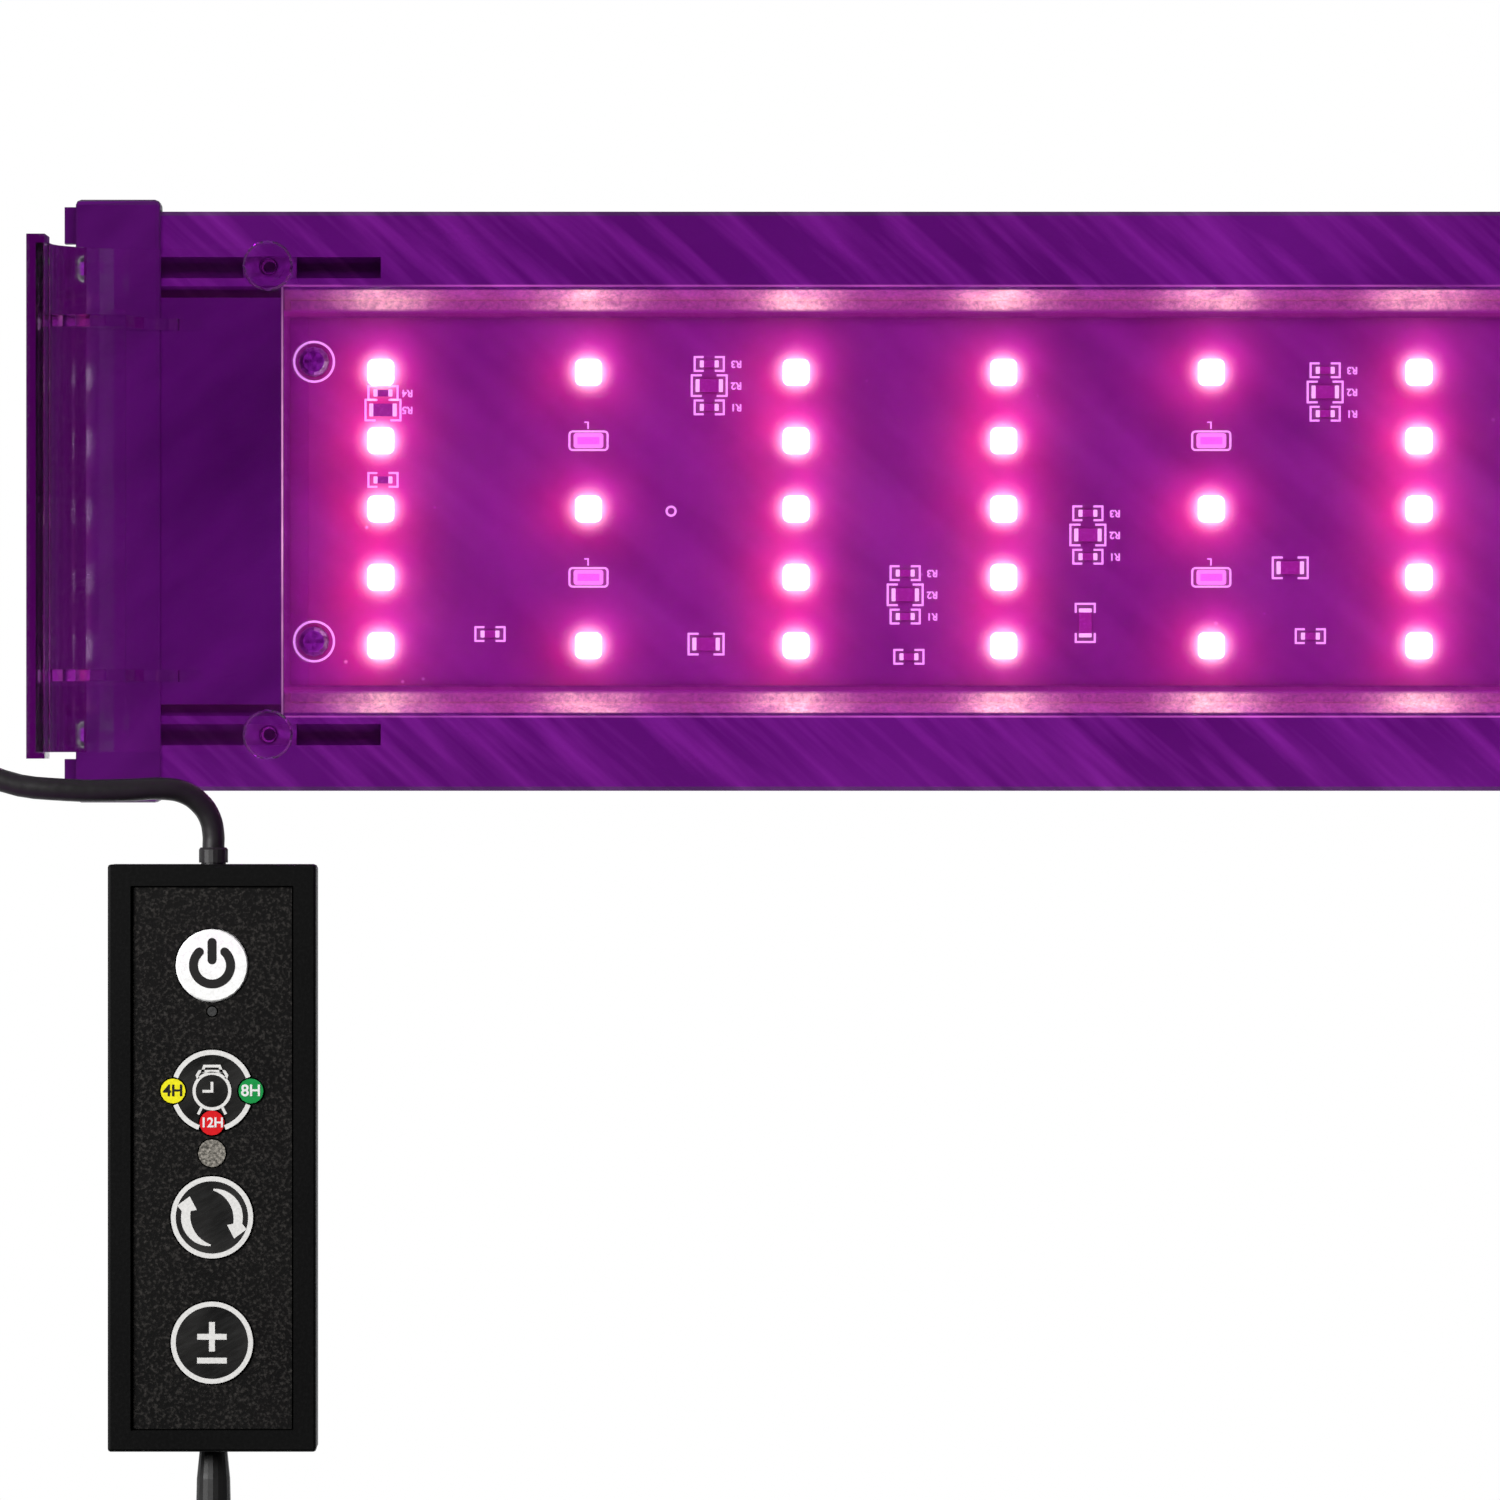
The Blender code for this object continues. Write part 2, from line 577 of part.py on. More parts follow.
def controller_board(paint):
    return add("controller_board", box_mesh(at(-17.0, -43.0, 9.1), at(17.0, 43.0, 10.7)), paint)


def button(name, y, radius, paint):
    """A round key with a flange behind the face and a stem over its switch. Its origin is on its axis."""
    profile = [
        (0, 4.0), (1.5, 4.0), (1.5, 3.4), (radius + 0.55, 3.4), (radius + 0.55, 2.7), (radius, 2.7),
        (radius, 0.25), (radius - 0.25, 0.0), (0, 0.0),
    ]  # fmt: skip
    made = turned(name, profile, paint, at(0, y, BUTTON_FACE), facets=KEY_FACETS)
    if name == "timer_button":
        for x, dy in INDICATORS.values():
            cut(made, controller_rod(INDICATOR_R + GAP, x, y + dy, 0.0, BUTTON_FACE + 2.55))
    return made


def tactile_switch(name, y, paint):
    made = add(name, box_mesh(at(-3.0, y - 3.0, 6.3), at(3.0, y + 3.0, 8.8)), paint)
    return unite(made, controller_rod(1.7, 0, y, 5.3, 6.6, 16))


def controller_screw(name, x, y, paint):
    profile = [(0, 1.0), (1.6, 1.0), (2.2, 0.5), (2.3, 0.0), (1.0, 0.0), (1.0, -10.2), (0.5, -10.8), (0, -10.8)]
    made = turned(name, profile, paint, at(x, y, 14.0), facets=12)
    return cross_slot(made, at(x, y, 15.0), (0, 0, -1), 1.2, 0.7)


def lead_relief(name, side, outside, paint):
    """A grommet in the controller's end wall; outside lists (radius, distance) beyond the wall."""
    inside = [(2.3, 0.0), (2.3, -2.25), (3.2, -2.25), (3.2, -3.45), (0, -3.45)]
    profile = [(0, outside[0][1]), *outside, *inside]
    return turned(name, profile, paint, at(0, side * (HALF_L + GAP), CABLE_Z), (0, side, 0), 20)


# --- leads ---------------------------------------------------------------------------------------------------


def coil(name, centre, paint):
    """The outer shape of four turns of lead, two wide and two high."""
    inner, outer, top = COIL_MID_R - 2 * LEAD_R, COIL_MID_R + 2 * LEAD_R, COIL_LOW + 4 * LEAD_R
    profile = [(inner, top), (outer, top), (outer, COIL_LOW), (inner, COIL_LOW), (inner, top)]
    return turned(name, profile, paint, (*centre, 0.0), facets=32)


def coil_tie(name, centre, angle, paint):
    """A flat strap closed round a coil, at an angle from +X."""
    inner, outer, top = COIL_MID_R - 2 * LEAD_R - 0.7, COIL_MID_R + 2 * LEAD_R + GAP, COIL_LOW + 4 * LEAD_R + GAP
    place = Matrix.Translation((*centre, 0.0)) @ Matrix.Rotation(math.radians(angle), 4, "Z")
    strap = box_mesh((inner - 0.5, -3.5, 0.05), (outer + 0.5, 3.5, top + 0.5))
    space = box_mesh((inner, -4.0, 0.55), (outer, 4.0, top))
    strap.transform(place)
    space.transform(place)
    return cut(add(name, strap, paint), space)


def plug_body(paint):
    profile = [
        (0, 32.0), (2.3, 32.0), (3.0, 26.0), (3.4, 22.2), (4.4, 21.6), (4.9, 20.8), (4.9, 1.0), (4.4, 0.0), (0, 0.0),
    ]  # fmt: skip
    return turned("dc_plug_body", profile, paint, (181.7, PLUG_Y, PLUG_Z), (1, 0, 0))


def plug_barrel(paint):
    profile = [
        (0, 0.0), (2.75, 0.0), (2.75, -9.2), (2.5, -9.5), (1.3, -9.5), (1.3, -1.5), (0, -1.5),
    ]  # fmt: skip
    return turned("dc_plug_barrel", profile, paint, (181.4, PLUG_Y, PLUG_Z), (1, 0, 0))


def materials():
    return {
        "aluminium": material("anodised_aluminium", (0.16, 0.16, 0.165), 0.45, 0.8),
        "cap": material("cap_plastic", (0.1, 0.1, 0.105), 0.5),
        "steel": material("screw_steel", (0.6, 0.6, 0.6), 0.3, 1.0),
        "board": material("white_board", (0.85, 0.85, 0.86), 0.4),
        "clear": material("clear_plastic", (0.9, 0.92, 0.93), 0.05, 0.0, 0.35),
        "seal": material("silicone", (0.75, 0.75, 0.75), 0.6),
        "lead": material("black_lead", (0.02, 0.02, 0.02), 0.5),
        "case": material("black_case", (0.02, 0.02, 0.022), 0.45),
        "label": material("speckled_label", (0.03, 0.028, 0.03), 0.6),
        "circuit": material("green_board", (0.02, 0.18, 0.06), 0.4),
        "silver": material("silver_key", (0.75, 0.75, 0.76), 0.3, 0.6),
        "key": material("black_key", (0.015, 0.015, 0.018), 0.15),
        "switch": material("switch_metal", (0.5, 0.5, 0.5), 0.35, 0.7),
        "smoke": material("smoked_lens", (0.3, 0.29, 0.27), 0.3),
        "yellow": material("yellow_lens", (0.9, 0.85, 0.02), 0.3),
        "green": material("green_lens", (0.02, 0.5, 0.15), 0.3),
        "red": material("red_lens", (0.8, 0.01, 0.03), 0.3),
    }


def build_lamp(paints):
    housing(paints["aluminium"])
    led_board(paints["board"])
    splash_cover(paints["clear"])
    cover_seal("cover_seal_rear", 1, paints["seal"])
    cover_seal("cover_seal_front", -1, paints["seal"])
    lamp_gland(paints["lead"])
    tube("board_lead", BOARD_LEAD, 1.1, paints["lead"], 4.0)
    for x, y in board_screw_places():
        where = f"{'right' if x > 0 else 'left'}_{'rear' if y > 0 else 'front'}"
        board_screw(f"board_screw_{where}", x, y, paints["steel"])
    for side, end in ((1, "right"), (-1, "left")):
        cap = end_cap(f"{end}_end_cap", side, paints["cap"])
        if side < 0:
            cut(cap, rod_mesh(3.3, (GLAND_X, 54.0, GLAND_Z), (GLAND_X, 58.0, GLAND_Z)))
        for y, where in ((SLOT_Y, "rear"), (-SLOT_Y, "front")):
            end_cap_screw(f"end_cap_screw_{end}_{where}", side, y, paints["steel"])


def build_legs(paints):
    for side, end in ((1, "right"), (-1, "left")):
        leg(f"{end}_leg", side, paints["clear"])
        for y, where in ((SLOT_Y, "rear"), (-SLOT_Y, "front")):
            leg_knob(f"{end}_knob_{where}", side, y, paints["clear"])
            slot_nut(f"{end}_slot_nut_{where}", side, y, paints["steel"])


def build_controller(paints):
    controller_frame(paints["case"])
    controller_base(paints["case"])
    face_label(paints["label"])
    controller_board(paints["circuit"])
    for name, (y, radius) in BUTTONS.items():
        button(f"{name}_button", y, radius, paints["silver" if name == "power" else "key"])
        tactile_switch(f"{name}_switch", y, paints["switch"])
    add("status_lens", controller_rod(STATUS_R, 0, STATUS_Y, 0.7, 2.8, 12), paints["smoke"])
    add("sensor_window", controller_rod(SENSOR_R, 0, SENSOR_Y, 0.6, 2.8), paints["smoke"])
    timer_y = BUTTONS["timer"][0]
    for colour, (x, y) in INDICATORS.items():
        lens = controller_rod(INDICATOR_R, x, timer_y + y, 0.4, 2.7)
        add(f"indicator_{colour}", lens, paints[colour])
    for x, y in posts():
        where = f"{'right' if x > 0 else 'left'}_{'rear' if y > 0 else 'front'}"
        controller_screw(f"controller_screw_{where}", x, y, paints["steel"])
    lead_relief("lamp_side_relief", 1, [(2.4, 2.8), (2.7, 2.4), (2.7, 0.0)], paints["lead"])
    lead_relief("supply_side_relief", -1, [(3.2, 9.5), (3.1, 5.0), (2.6, 0.0)], paints["lead"])


def build_leads(paints):
    tube("lamp_lead_drop", LAMP_LEAD_DROP, LEAD_R, paints["lead"])
    coil("lamp_lead_coil", LAMP_COIL, paints["lead"])
    coil_tie("lamp_coil_tie", LAMP_COIL, 90.0, paints["seal"])
    tube("lamp_lead_run", LAMP_LEAD_RUN, LEAD_R, paints["lead"], 11.5)
    tube("supply_lead_start", SUPPLY_LEAD_START, LEAD_R, paints["lead"], 4.0)
    coil("supply_lead_coil", SUPPLY_COIL, paints["lead"])
    coil_tie("supply_coil_tie", SUPPLY_COIL, 0.0, paints["seal"])
    tube("supply_lead_end", SUPPLY_LEAD_END, LEAD_R, paints["lead"], 5.0)
    plug_body(paints["lead"])
    plug_barrel(paints["silver"])


clear_scene()
MODEL = collection("led_aquarium_light")
CUTTERS = collection("cutters")
PAINTS = materials()
build_lamp(PAINTS)
build_legs(PAINTS)
build_controller(PAINTS)
build_leads(PAINTS)
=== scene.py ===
"""Looks for the LED aquarium light: finishes, lit board, key symbols, leads and studio."""

import json
import math

import bmesh
import bpy
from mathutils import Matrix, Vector

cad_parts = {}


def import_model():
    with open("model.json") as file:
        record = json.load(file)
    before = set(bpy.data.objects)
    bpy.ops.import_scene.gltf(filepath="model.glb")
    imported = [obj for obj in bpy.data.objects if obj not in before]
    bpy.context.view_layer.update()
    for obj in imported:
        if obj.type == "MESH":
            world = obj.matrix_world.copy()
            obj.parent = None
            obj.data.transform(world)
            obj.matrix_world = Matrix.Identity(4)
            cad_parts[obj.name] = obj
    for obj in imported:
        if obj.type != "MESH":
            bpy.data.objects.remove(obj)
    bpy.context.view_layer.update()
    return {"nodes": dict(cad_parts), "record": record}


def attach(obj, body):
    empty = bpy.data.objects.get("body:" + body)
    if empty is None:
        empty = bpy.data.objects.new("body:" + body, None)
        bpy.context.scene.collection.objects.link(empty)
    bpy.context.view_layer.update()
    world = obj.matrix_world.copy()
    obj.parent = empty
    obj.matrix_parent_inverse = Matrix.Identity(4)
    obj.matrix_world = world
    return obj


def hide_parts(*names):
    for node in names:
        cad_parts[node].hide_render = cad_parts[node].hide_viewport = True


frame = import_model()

MM = 0.001
SCENE = bpy.context.scene

# Board, in millimetres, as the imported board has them
BOARD_LOW, BOARD_HIGH = 66.1, 67.7
BOARD_HALF_LENGTH, BOARD_HALF_WIDTH = 232.8, 34.7
COLUMN_PITCH, ROW_PITCH, ROW_SHIFT = 39.2, 12.9, -1.4
COLUMN_PATTERN = (5, 3, 5)
COLUMNS = 12
BOARD_SCREW_X, BOARD_SCREW_Y = 228.2, 26.4
FACE_GRID = (480, 72)  # the board's faces along X and Y, fine enough to carry the light round an LED
PACKAGE = (65.2, BOARD_LOW)  # lowest and highest Z of an LED's frame
PHOSPHOR = (65.4, BOARD_LOW)
DIM_LENS = (65.45, BOARD_LOW)
DIM_CHIP = (65.35, 65.5)
LED_HALF = 2.6  # the light painted round an LED starts this far from its middle
SILK = (BOARD_LOW - 0.05, BOARD_LOW + 0.05)  # Z of the printed lines, which stand out of the mask
SILK_WIDTH = 0.38
MARK_SIZE, MARK_BOLD = 1.9, 0.05
# The light painted round every LED as a glow: how far it reaches beyond the package, and where it drifts to
SPILLS = {"near_led": (1.25, 0.0, 0.0), "above_led": (3.0, -1.2, 2.0), "round_led": (5.3, 1.5, -0.6)}

# Housing and caps, in millimetres from the lamp's middle; a pair is where a change starts and ends
PANEL_EDGE = (33.8, 34.2)  # Y, where the top's middle panel meets the rails
SLOPE_FOOT = (35.8, 36.4)  # Y, where the slope beside the board comes out from behind the board
SLOPE_TOP = (39.7, 40.0)
ARRIS_Y = 40.6  # the edge between a slope and the rail's underside
WINDOW_END = (233.6, 234.0)  # X, where the end caps cover the slopes
UNDER_BOARD = (67.9, 68.2)  # Z
UNDERSIDE = (60.6, 60.9)  # Z
LIGHT_STREAK_TURN = -42.0  # degrees that the painted light streaks on the underside and the board lean
CAP_EDGE_X, CAP_EDGE_HALF, CAP_EDGE_WIDTH = 234.0, 40.3, 0.34  # the glowing strips that paint a glint on the caps' inner edges
CAP_EDGE = (58.88, 58.97)  # Z

# Controller
CONTROLLER = (245.3, -122.3)
KEYS = {"power": 35.6, "timer": 12.4, "mode": -10.95, "level": -34.1}
KEY_PRINT = (0.4, 0.5)  # a symbol stands 0.05 out of a key's face
DOT_PRINT = (0.33, 0.43)
THIN = 0.5  # the timer symbol's lines
RING_R, RING_WIDTH = 7.14, 0.9
HOUR_DOTS = {"yellow": ("4H", 7.2, 0.0), "green": ("8H", -7.2, 0.0), "red": ("12H", 0.0, -5.9)}

# Leads
LEAD_R = 2.1
LEAD_INTO = 1.5  # how far a lead goes into the boot or plug at its end
COIL_R = (26.1, 21.9)  # outer and inner turns
COIL_Z = (2.95, 7.15, 11.35)  # bottom and top turns, and the hump over the last crossing
COIL_STEPS = 24
LAMP_COIL = ((-205.0, 123.1), -90.0)
SUPPLY_COIL = ((271.4, -218.0), 180.0)
LAMP_LEAD_DROP = [
    (-266.85, 74.7, 66.0), (-266.85, 80.0, 65.9), (-266.8, 88.0, 61.8), (-266.7, 94.0, 53.0),
    (-266.4, 97.8, 41.0), (-265.3, 100.6, 28.0), (-262.6, 102.6, 16.0), (-257.8, 103.2, 7.0),
    (-250.5, 101.8, 3.1), (-241.5, 99.2, 2.3), (-231.5, 97.3, 2.7), (-220.6, 97.0, 2.95),
]  # fmt: skip
LAMP_LEAD_RUN = [
    (-189.4, 97.0, 7.15), (-180.0, 97.2, 5.6), (-168.0, 97.9, 3.2), (-152.0, 98.6, 2.2),
    (-110.0, 99.8, 2.2), (-60.0, 98.2, 2.2), (0.0, 97.4, 2.2), (60.0, 98.6, 2.2), (120.0, 99.6, 2.2),
    (180.0, 98.4, 2.2), (240.0, 97.8, 2.2), (276.0, 97.0, 2.2), (291.0, 93.2, 2.2), (300.0, 83.0, 2.2),
    (302.6, 68.0, 2.2), (302.2, 40.0, 2.2), (301.4, 5.0, 2.2), (301.8, -22.0, 2.2), (300.2, -36.0, 2.2),
    (294.6, -46.6, 2.2), (284.0, -52.6, 2.2), (272.0, -54.3, 2.4), (261.0, -54.3, 3.9), (254.0, -54.1, 5.6),
    (250.67, -54.76, 6.7), (247.85, -56.65, 7.7), (245.96, -59.47, 8.5), (245.3, -62.6, 8.9),
    (245.3, -64.6, 9.0),
]  # fmt: skip
SUPPLY_LEAD_START = [(245.3, -186.8, 9.0), (245.3, -189.5, 8.8), (245.3, -196.0, 5.4), (245.3, -202.4, 3.0)]
SUPPLY_LEAD_END = [
    (245.3, -233.6, 7.15), (245.0, -240.0, 6.2), (243.2, -246.6, 4.6), (238.8, -252.4, 3.4),
    (232.0, -256.0, 3.2), (224.0, -257.3, 3.9), (214.0, -257.6, 5.0),
]  # fmt: skip

# Studio, in metres
CAMERA_PLACE = (0.1459, -0.0469, -2.94)
LENS, SENSOR = 382.0, 36.0  # millimetres
FLOOR_Z = -0.0003
VIOLET_POOL_REACH = (0.055, 0.09)  # how far from the lamp's middle line the floor's painted violet pool of light fades
TANK_GLOW, FACE_FILL = 11.5, 27.5  # watts
OVERHEAD_SUN, KEY_SUN = 1.0, 1.5  # watts per square metre
VIOLET = (0.62, 0.016, 1.0)

SOCKETS = {
    "color": "Base Color", "metal": "Metallic", "rough": "Roughness", "ior": "IOR",
    "clear": "Transmission Weight", "coat": "Coat Weight", "coat_rough": "Coat Roughness",
    "specular": "Specular IOR Level", "glow_color": "Emission Color", "glow": "Emission Strength",
    "normal": "Normal",
}  # fmt: skip


# --- finishes ------------------------------------------------------------------------------------


def rgb(red, green, blue):
    return (red, green, blue, 1.0)


class Nodes:
    """Short ways to add shader nodes to a tree."""

    def __init__(self, tree):
        self.tree = tree

    def put(self, socket, value):
        if isinstance(value, bpy.types.NodeSocket):
            self.tree.links.new(value, socket)
        else:
            socket.default_value = value

    def node(self, kind, settings=None, **inputs):
        """A node whose inputs are given by name, or by number after an underscore."""
        made = self.tree.nodes.new("ShaderNode" + kind)
        for key, value in (settings or {}).items():
            setattr(made, key, value)
        for key, value in inputs.items():
            self.put(made.inputs[int(key[1:]) if key[0] == "_" else key], value)
        return made

    def span(self, value, low, high, to_low=0.0, to_high=1.0):
        made = self.node("MapRange", _0=value, _1=low, _2=high, _3=to_low, _4=to_high)
        return made.outputs[0]

    def math(self, operation, a, b=0.0, c=0.0):
        return self.node("Math", {"operation": operation}, _0=a, _1=b, _2=c).outputs[0]

    def product(self, *factors):
        made = factors[0]
        for factor in factors[1:]:
            made = self.math("MULTIPLY", made, factor)
        return made

    def either(self, factor, a, b):
        """Shader a where the factor is 0, and b where it is 1."""
        return self.node("MixShader", _0=factor, _1=a, _2=b).outputs[0]


class Finish(Nodes):
    """A procedural material: a principled shader, its fixed sockets, and the nodes that feed the others."""

    def __init__(self, name, **fixed):
        self.material = bpy.data.materials.new(name)
        self.material.use_nodes = True
        super().__init__(self.material.node_tree)
        self.shader = self.tree.nodes["Principled BSDF"]
        self.feed(**fixed)

    def feed(self, **sockets):
        for key, value in sockets.items():
            self.put(self.shader.inputs[SOCKETS[key]], value)
        return self

    def place(self, scale=(1.0, 1.0, 1.0), turn=0.0):
        """Object coordinates, stretched and turned about Z."""
        where = self.node("TexCoord").outputs["Object"]
        turned = self.node("Mapping", Vector=where, Rotation=(0.0, 0.0, math.radians(turn)))
        return self.node("Mapping", Vector=turned.outputs[0], Scale=scale).outputs[0]

    def where(self):
        """X, Y and Z of the point, in metres."""
        return self.node("SeparateXYZ", _0=self.node("TexCoord").outputs["Object"]).outputs

    def noise(self, scale, detail=2.0, rough=0.5, place=None):
        made = self.node("TexNoise", Scale=scale, Detail=detail, Roughness=rough)
        self.put(made.inputs["Vector"], place or self.place())
        return made.outputs["Fac"]

    def mix(self, factor, a, b):
        return self.node("Mix", {"data_type": "RGBA"}, _0=factor, _6=a, _7=b).outputs[2]

    def within(self, value, edge):
        """1 up to where the edge starts, and 0 from where it ends, for a value in metres."""
        return self.span(value, edge[0] * MM, edge[1] * MM, 1.0, 0.0)

    def beyond(self, value, edge):
        return self.span(value, edge[0] * MM, edge[1] * MM)

    def glows(self, *parts):
        """Adds up (colour, strength) pairs into the light that the surface gives off."""
        total = None
        for color, strength in parts:
            part = self.node("VectorMath", {"operation": "SCALE"}, _0=color, _3=strength).outputs[0]
            total = self.node("VectorMath", _0=total, _1=part).outputs[0] if total else part
        return self.feed(glow_color=total, glow=1.0)

    def bump(self, height, strength, distance=0.0002):
        """Adds relief on top of any that is there already."""
        made = self.node("Bump", Height=height, Strength=strength, Distance=distance)
        for link in self.shader.inputs["Normal"].links:
            self.put(made.inputs["Normal"], link.from_socket)
        return self.feed(normal=made.outputs[0])

    def shows(self, shader):
        """Makes a shader the one that the surface shows."""
        self.put(self.tree.nodes["Material Output"].inputs["Surface"], shader)

    def lets_light_in(self):
        """Clear plastic that a lamp shines through, so what is behind it isn't in the dark."""
        straight = self.node("BsdfTransparent", Color=rgb(0.9, 0.9, 0.9)).outputs[0]
        rays = self.node("LightPath").outputs["Is Shadow Ray"]
        self.shows(self.either(rays, self.shader.outputs[0], straight))
        return self


def side_light(made, along, across):
    """The LEDs' light on the surfaces beside the board, painted as a glow, as colours and strengths: a band
    that is hot by each column and weaker at the ends, and a dimmer painted glow in a strip where it meets
    the board."""
    blast = made.noise(1300.0, 4.0, 0.75)
    blotch = made.noise(150.0, 3.0, 0.6)
    phase = made.math("MULTIPLY_ADD", along, 2 * math.pi / (COLUMN_PITCH * MM), math.pi)
    beat = made.span(made.math("COSINE", phase), -1.0, 1.0)
    hot = made.product(made.math("POWER", beat, 2.0), made.span(blotch, 0.35, 0.65, 0.55, 1.1))
    outward = made.math("ABSOLUTE", along)
    ends = made.product(made.span(outward, 0.2, 0.233, 1.0, 0.5), made.within(outward, WINDOW_END))
    level = made.product(made.span(hot, 0.0, 1.0, 0.4, 1.35), ends, made.span(blast, 0.3, 0.7, 0.45, 1.3))
    band = made.product(made.beyond(across, SLOPE_FOOT), made.within(across, SLOPE_TOP))
    color = made.mix(hot, rgb(0.75, 0.11, 0.42), rgb(1.0, 0.46, 0.52))
    strip = made.within(across, SLOPE_FOOT)
    return [(color, made.product(level, band)), ((0.2, 0.01, 0.16), strip)]


def arris_light(made, where, across):
    """A painted glint along the edge between a slope and the rail's underside: a glow, as a colour and a
    strength.
    """
    away = made.math("ABSOLUTE", made.math("SUBTRACT", across, ARRIS_Y * MM))
    edge = made.span(away, 0.0001, 0.00025, 1.0, 0.0)
    edge = made.product(edge, made.within(where[2], UNDERSIDE))
    edge = made.product(edge, made.within(made.math("ABSOLUTE", where[0]), WINDOW_END))
    glint = made.noise(1.0, 2.0, 0.6, made.place((30.0, 4.0, 1.0)))
    return (0.62, 0.12, 0.5), made.product(edge, made.span(glint, 0.35, 0.7, 0.15, 0.9))


def blasted_top(made, across, lines):
    """The colour from above: a coarsely speckled middle panel, smoother rails, and die lines."""
    panel = made.within(across, PANEL_EDGE)
    grey = made.mix(panel, rgb(0.1, 0.1, 0.102), rgb(0.17, 0.17, 0.172))
    coarse = made.noise(1050.0, 2.0, 0.6)
    speckle = made.product(made.span(coarse, 0.48, 0.7), made.span(panel, 0.0, 1.0, 0.3, 1.0))
    dust_glint = made.mix(speckle, grey, rgb(0.3, 0.3, 0.3))
    return made.mix(made.span(lines, 0.4, 0.75, 0.0, 0.14), dust_glint, rgb(0.03, 0.03, 0.032))


def underside_with_light_streaks(made):
    # The diagonal streaks are painted light streaks, put into the underside's colour.
    streak = made.noise(1.0, 3.0, 0.55, made.place((18.0, 210.0, 1.0), LIGHT_STREAK_TURN))
    cloud = made.noise(24.0, 2.0, 0.5, made.place((0.6, 1.0, 1.0)))
    plain = made.mix(made.span(cloud, 0.3, 0.7), rgb(0.125, 0.1, 0.13), rgb(0.2, 0.19, 0.2))
    return made.mix(made.span(streak, 0.45, 0.75, 0.0, 0.8), plain, rgb(0.37, 0.42, 0.34))


def anodised():
    """Grey anodised extrusion: sand-blasted grain, die lines along X, painted light streaks on the
    underside, and the LEDs' light on the slopes beside the board and along their edge, painted as a glow."""
    made = Finish("anodised_housing", metal=0.3, specular=0.35)
    where = made.where()
    facing = made.node("SeparateXYZ", _0=made.node("NewGeometry").outputs["True Normal"]).outputs
    across = made.math("ABSOLUTE", where[1])
    grain = made.noise(1500.0, 3.0, 0.6)
    lines = made.noise(1.0, 3.0, 0.55, made.place((3.0, 900.0, 900.0)))
    under = made.span(facing[2], -0.6, -0.5, 1.0, 0.0)
    color = made.mix(under, blasted_top(made, across, lines), underside_with_light_streaks(made))
    made.feed(color=color, rough=made.span(grain, 0.3, 0.7, 0.36, 0.54))
    # The LEDs' light on the slopes below the board, and the glint on their edge, are painted as a glow.
    below_board = made.within(where[2], UNDER_BOARD)
    lit = [(tint, made.product(level, below_board)) for tint, level in side_light(made, where[0], across)]
    made.glows(*lit, arris_light(made, where, across))
    return made.bump(grain, 0.25, 0.0001).bump(lines, 0.09, 0.00008)


def lit_seal():
    """The cover's soft seal, with the slope's light painted on it as a glow."""
    made = Finish("lit_seal", color=rgb(0.09, 0.08, 0.085), rough=0.5, specular=0.2)
    where = made.where()
    made.glows(*side_light(made, where[0], made.math("ABSOLUTE", where[1])))
    return made.bump(made.noise(900.0, 3.0, 0.7), 0.25, 0.0001)


def cap_plastic():
    made = Finish("cap_plastic", specular=0.45)
    grain = made.noise(2600.0, 2.0)
    drift = made.noise(22.0, 3.0, 0.55, made.place((1.0, 3.0, 1.0), 40.0))
    base = made.mix(made.span(drift, 0.35, 0.75), rgb(0.07, 0.07, 0.072), rgb(0.13, 0.125, 0.128))
    made.feed(color=base, rough=made.span(drift, 0.3, 0.7, 0.38, 0.55))
    return made.bump(grain, 0.22, 0.00008)


def clear_plastic(name, tint, roughness=0.05):
    made = Finish(name, clear=1.0, ior=1.49, color=tint)
    flow = made.noise(38.0, 2.0, 0.5, made.place((1.0, 0.5, 1.0)))
    scuff = made.noise(420.0, 3.0, 0.65, made.place((1.0, 4.0, 1.0), 25.0))
    made.feed(rough=made.span(scuff, 0.45, 0.8, roughness, roughness + 0.12))
    return made.bump(flow, 0.1, 0.0006).lets_light_in()


def brushed_steel():
    made = Finish("screw_steel", metal=1.0)
    turned = made.noise(900.0, 3.0, 0.6)
    made.feed(
        color=made.mix(made.span(turned, 0.3, 0.8), rgb(0.32, 0.32, 0.33), rgb(0.5, 0.49, 0.48)),
        rough=made.span(turned, 0.3, 0.7, 0.3, 0.48),
    )
    return made.bump(turned, 0.12, 0.00005)


def spilled_light(made):
    """The LEDs' light painted on the board as a glow, round every LED and as glints on the dust beside it,
    as colours and strengths.
    """
    near, above, wide = (made.node("Attribute", {"attribute_name": name}).outputs["Fac"] for name in SPILLS)
    patchy = made.span(made.noise(42.0, 3.0, 0.55), 0.35, 0.65, 0.6, 1.2)
    dust = made.node("TexVoronoi", Scale=230.0, Vector=made.place()).outputs["Distance"]
    rare = made.noise(75.0, 1.0)
    dust_glint = made.product(made.span(dust, 0.05, 0.11, 1.0, 0.0), made.span(rare, 0.6, 0.66))
    return (
        ((1.0, 0.006, 0.1), made.product(wide, made.product(patchy, 0.5))),
        ((0.85, 0.035, 0.62), made.product(above, 0.36)),
        ((1.0, 0.42, 0.6), made.product(made.math("POWER", near, 1.4), 1.2)),
        ((0.8, 0.3, 0.7), made.product(dust_glint, made.span(wide, 0.0, 0.6, 0.15, 0.8))),
    )


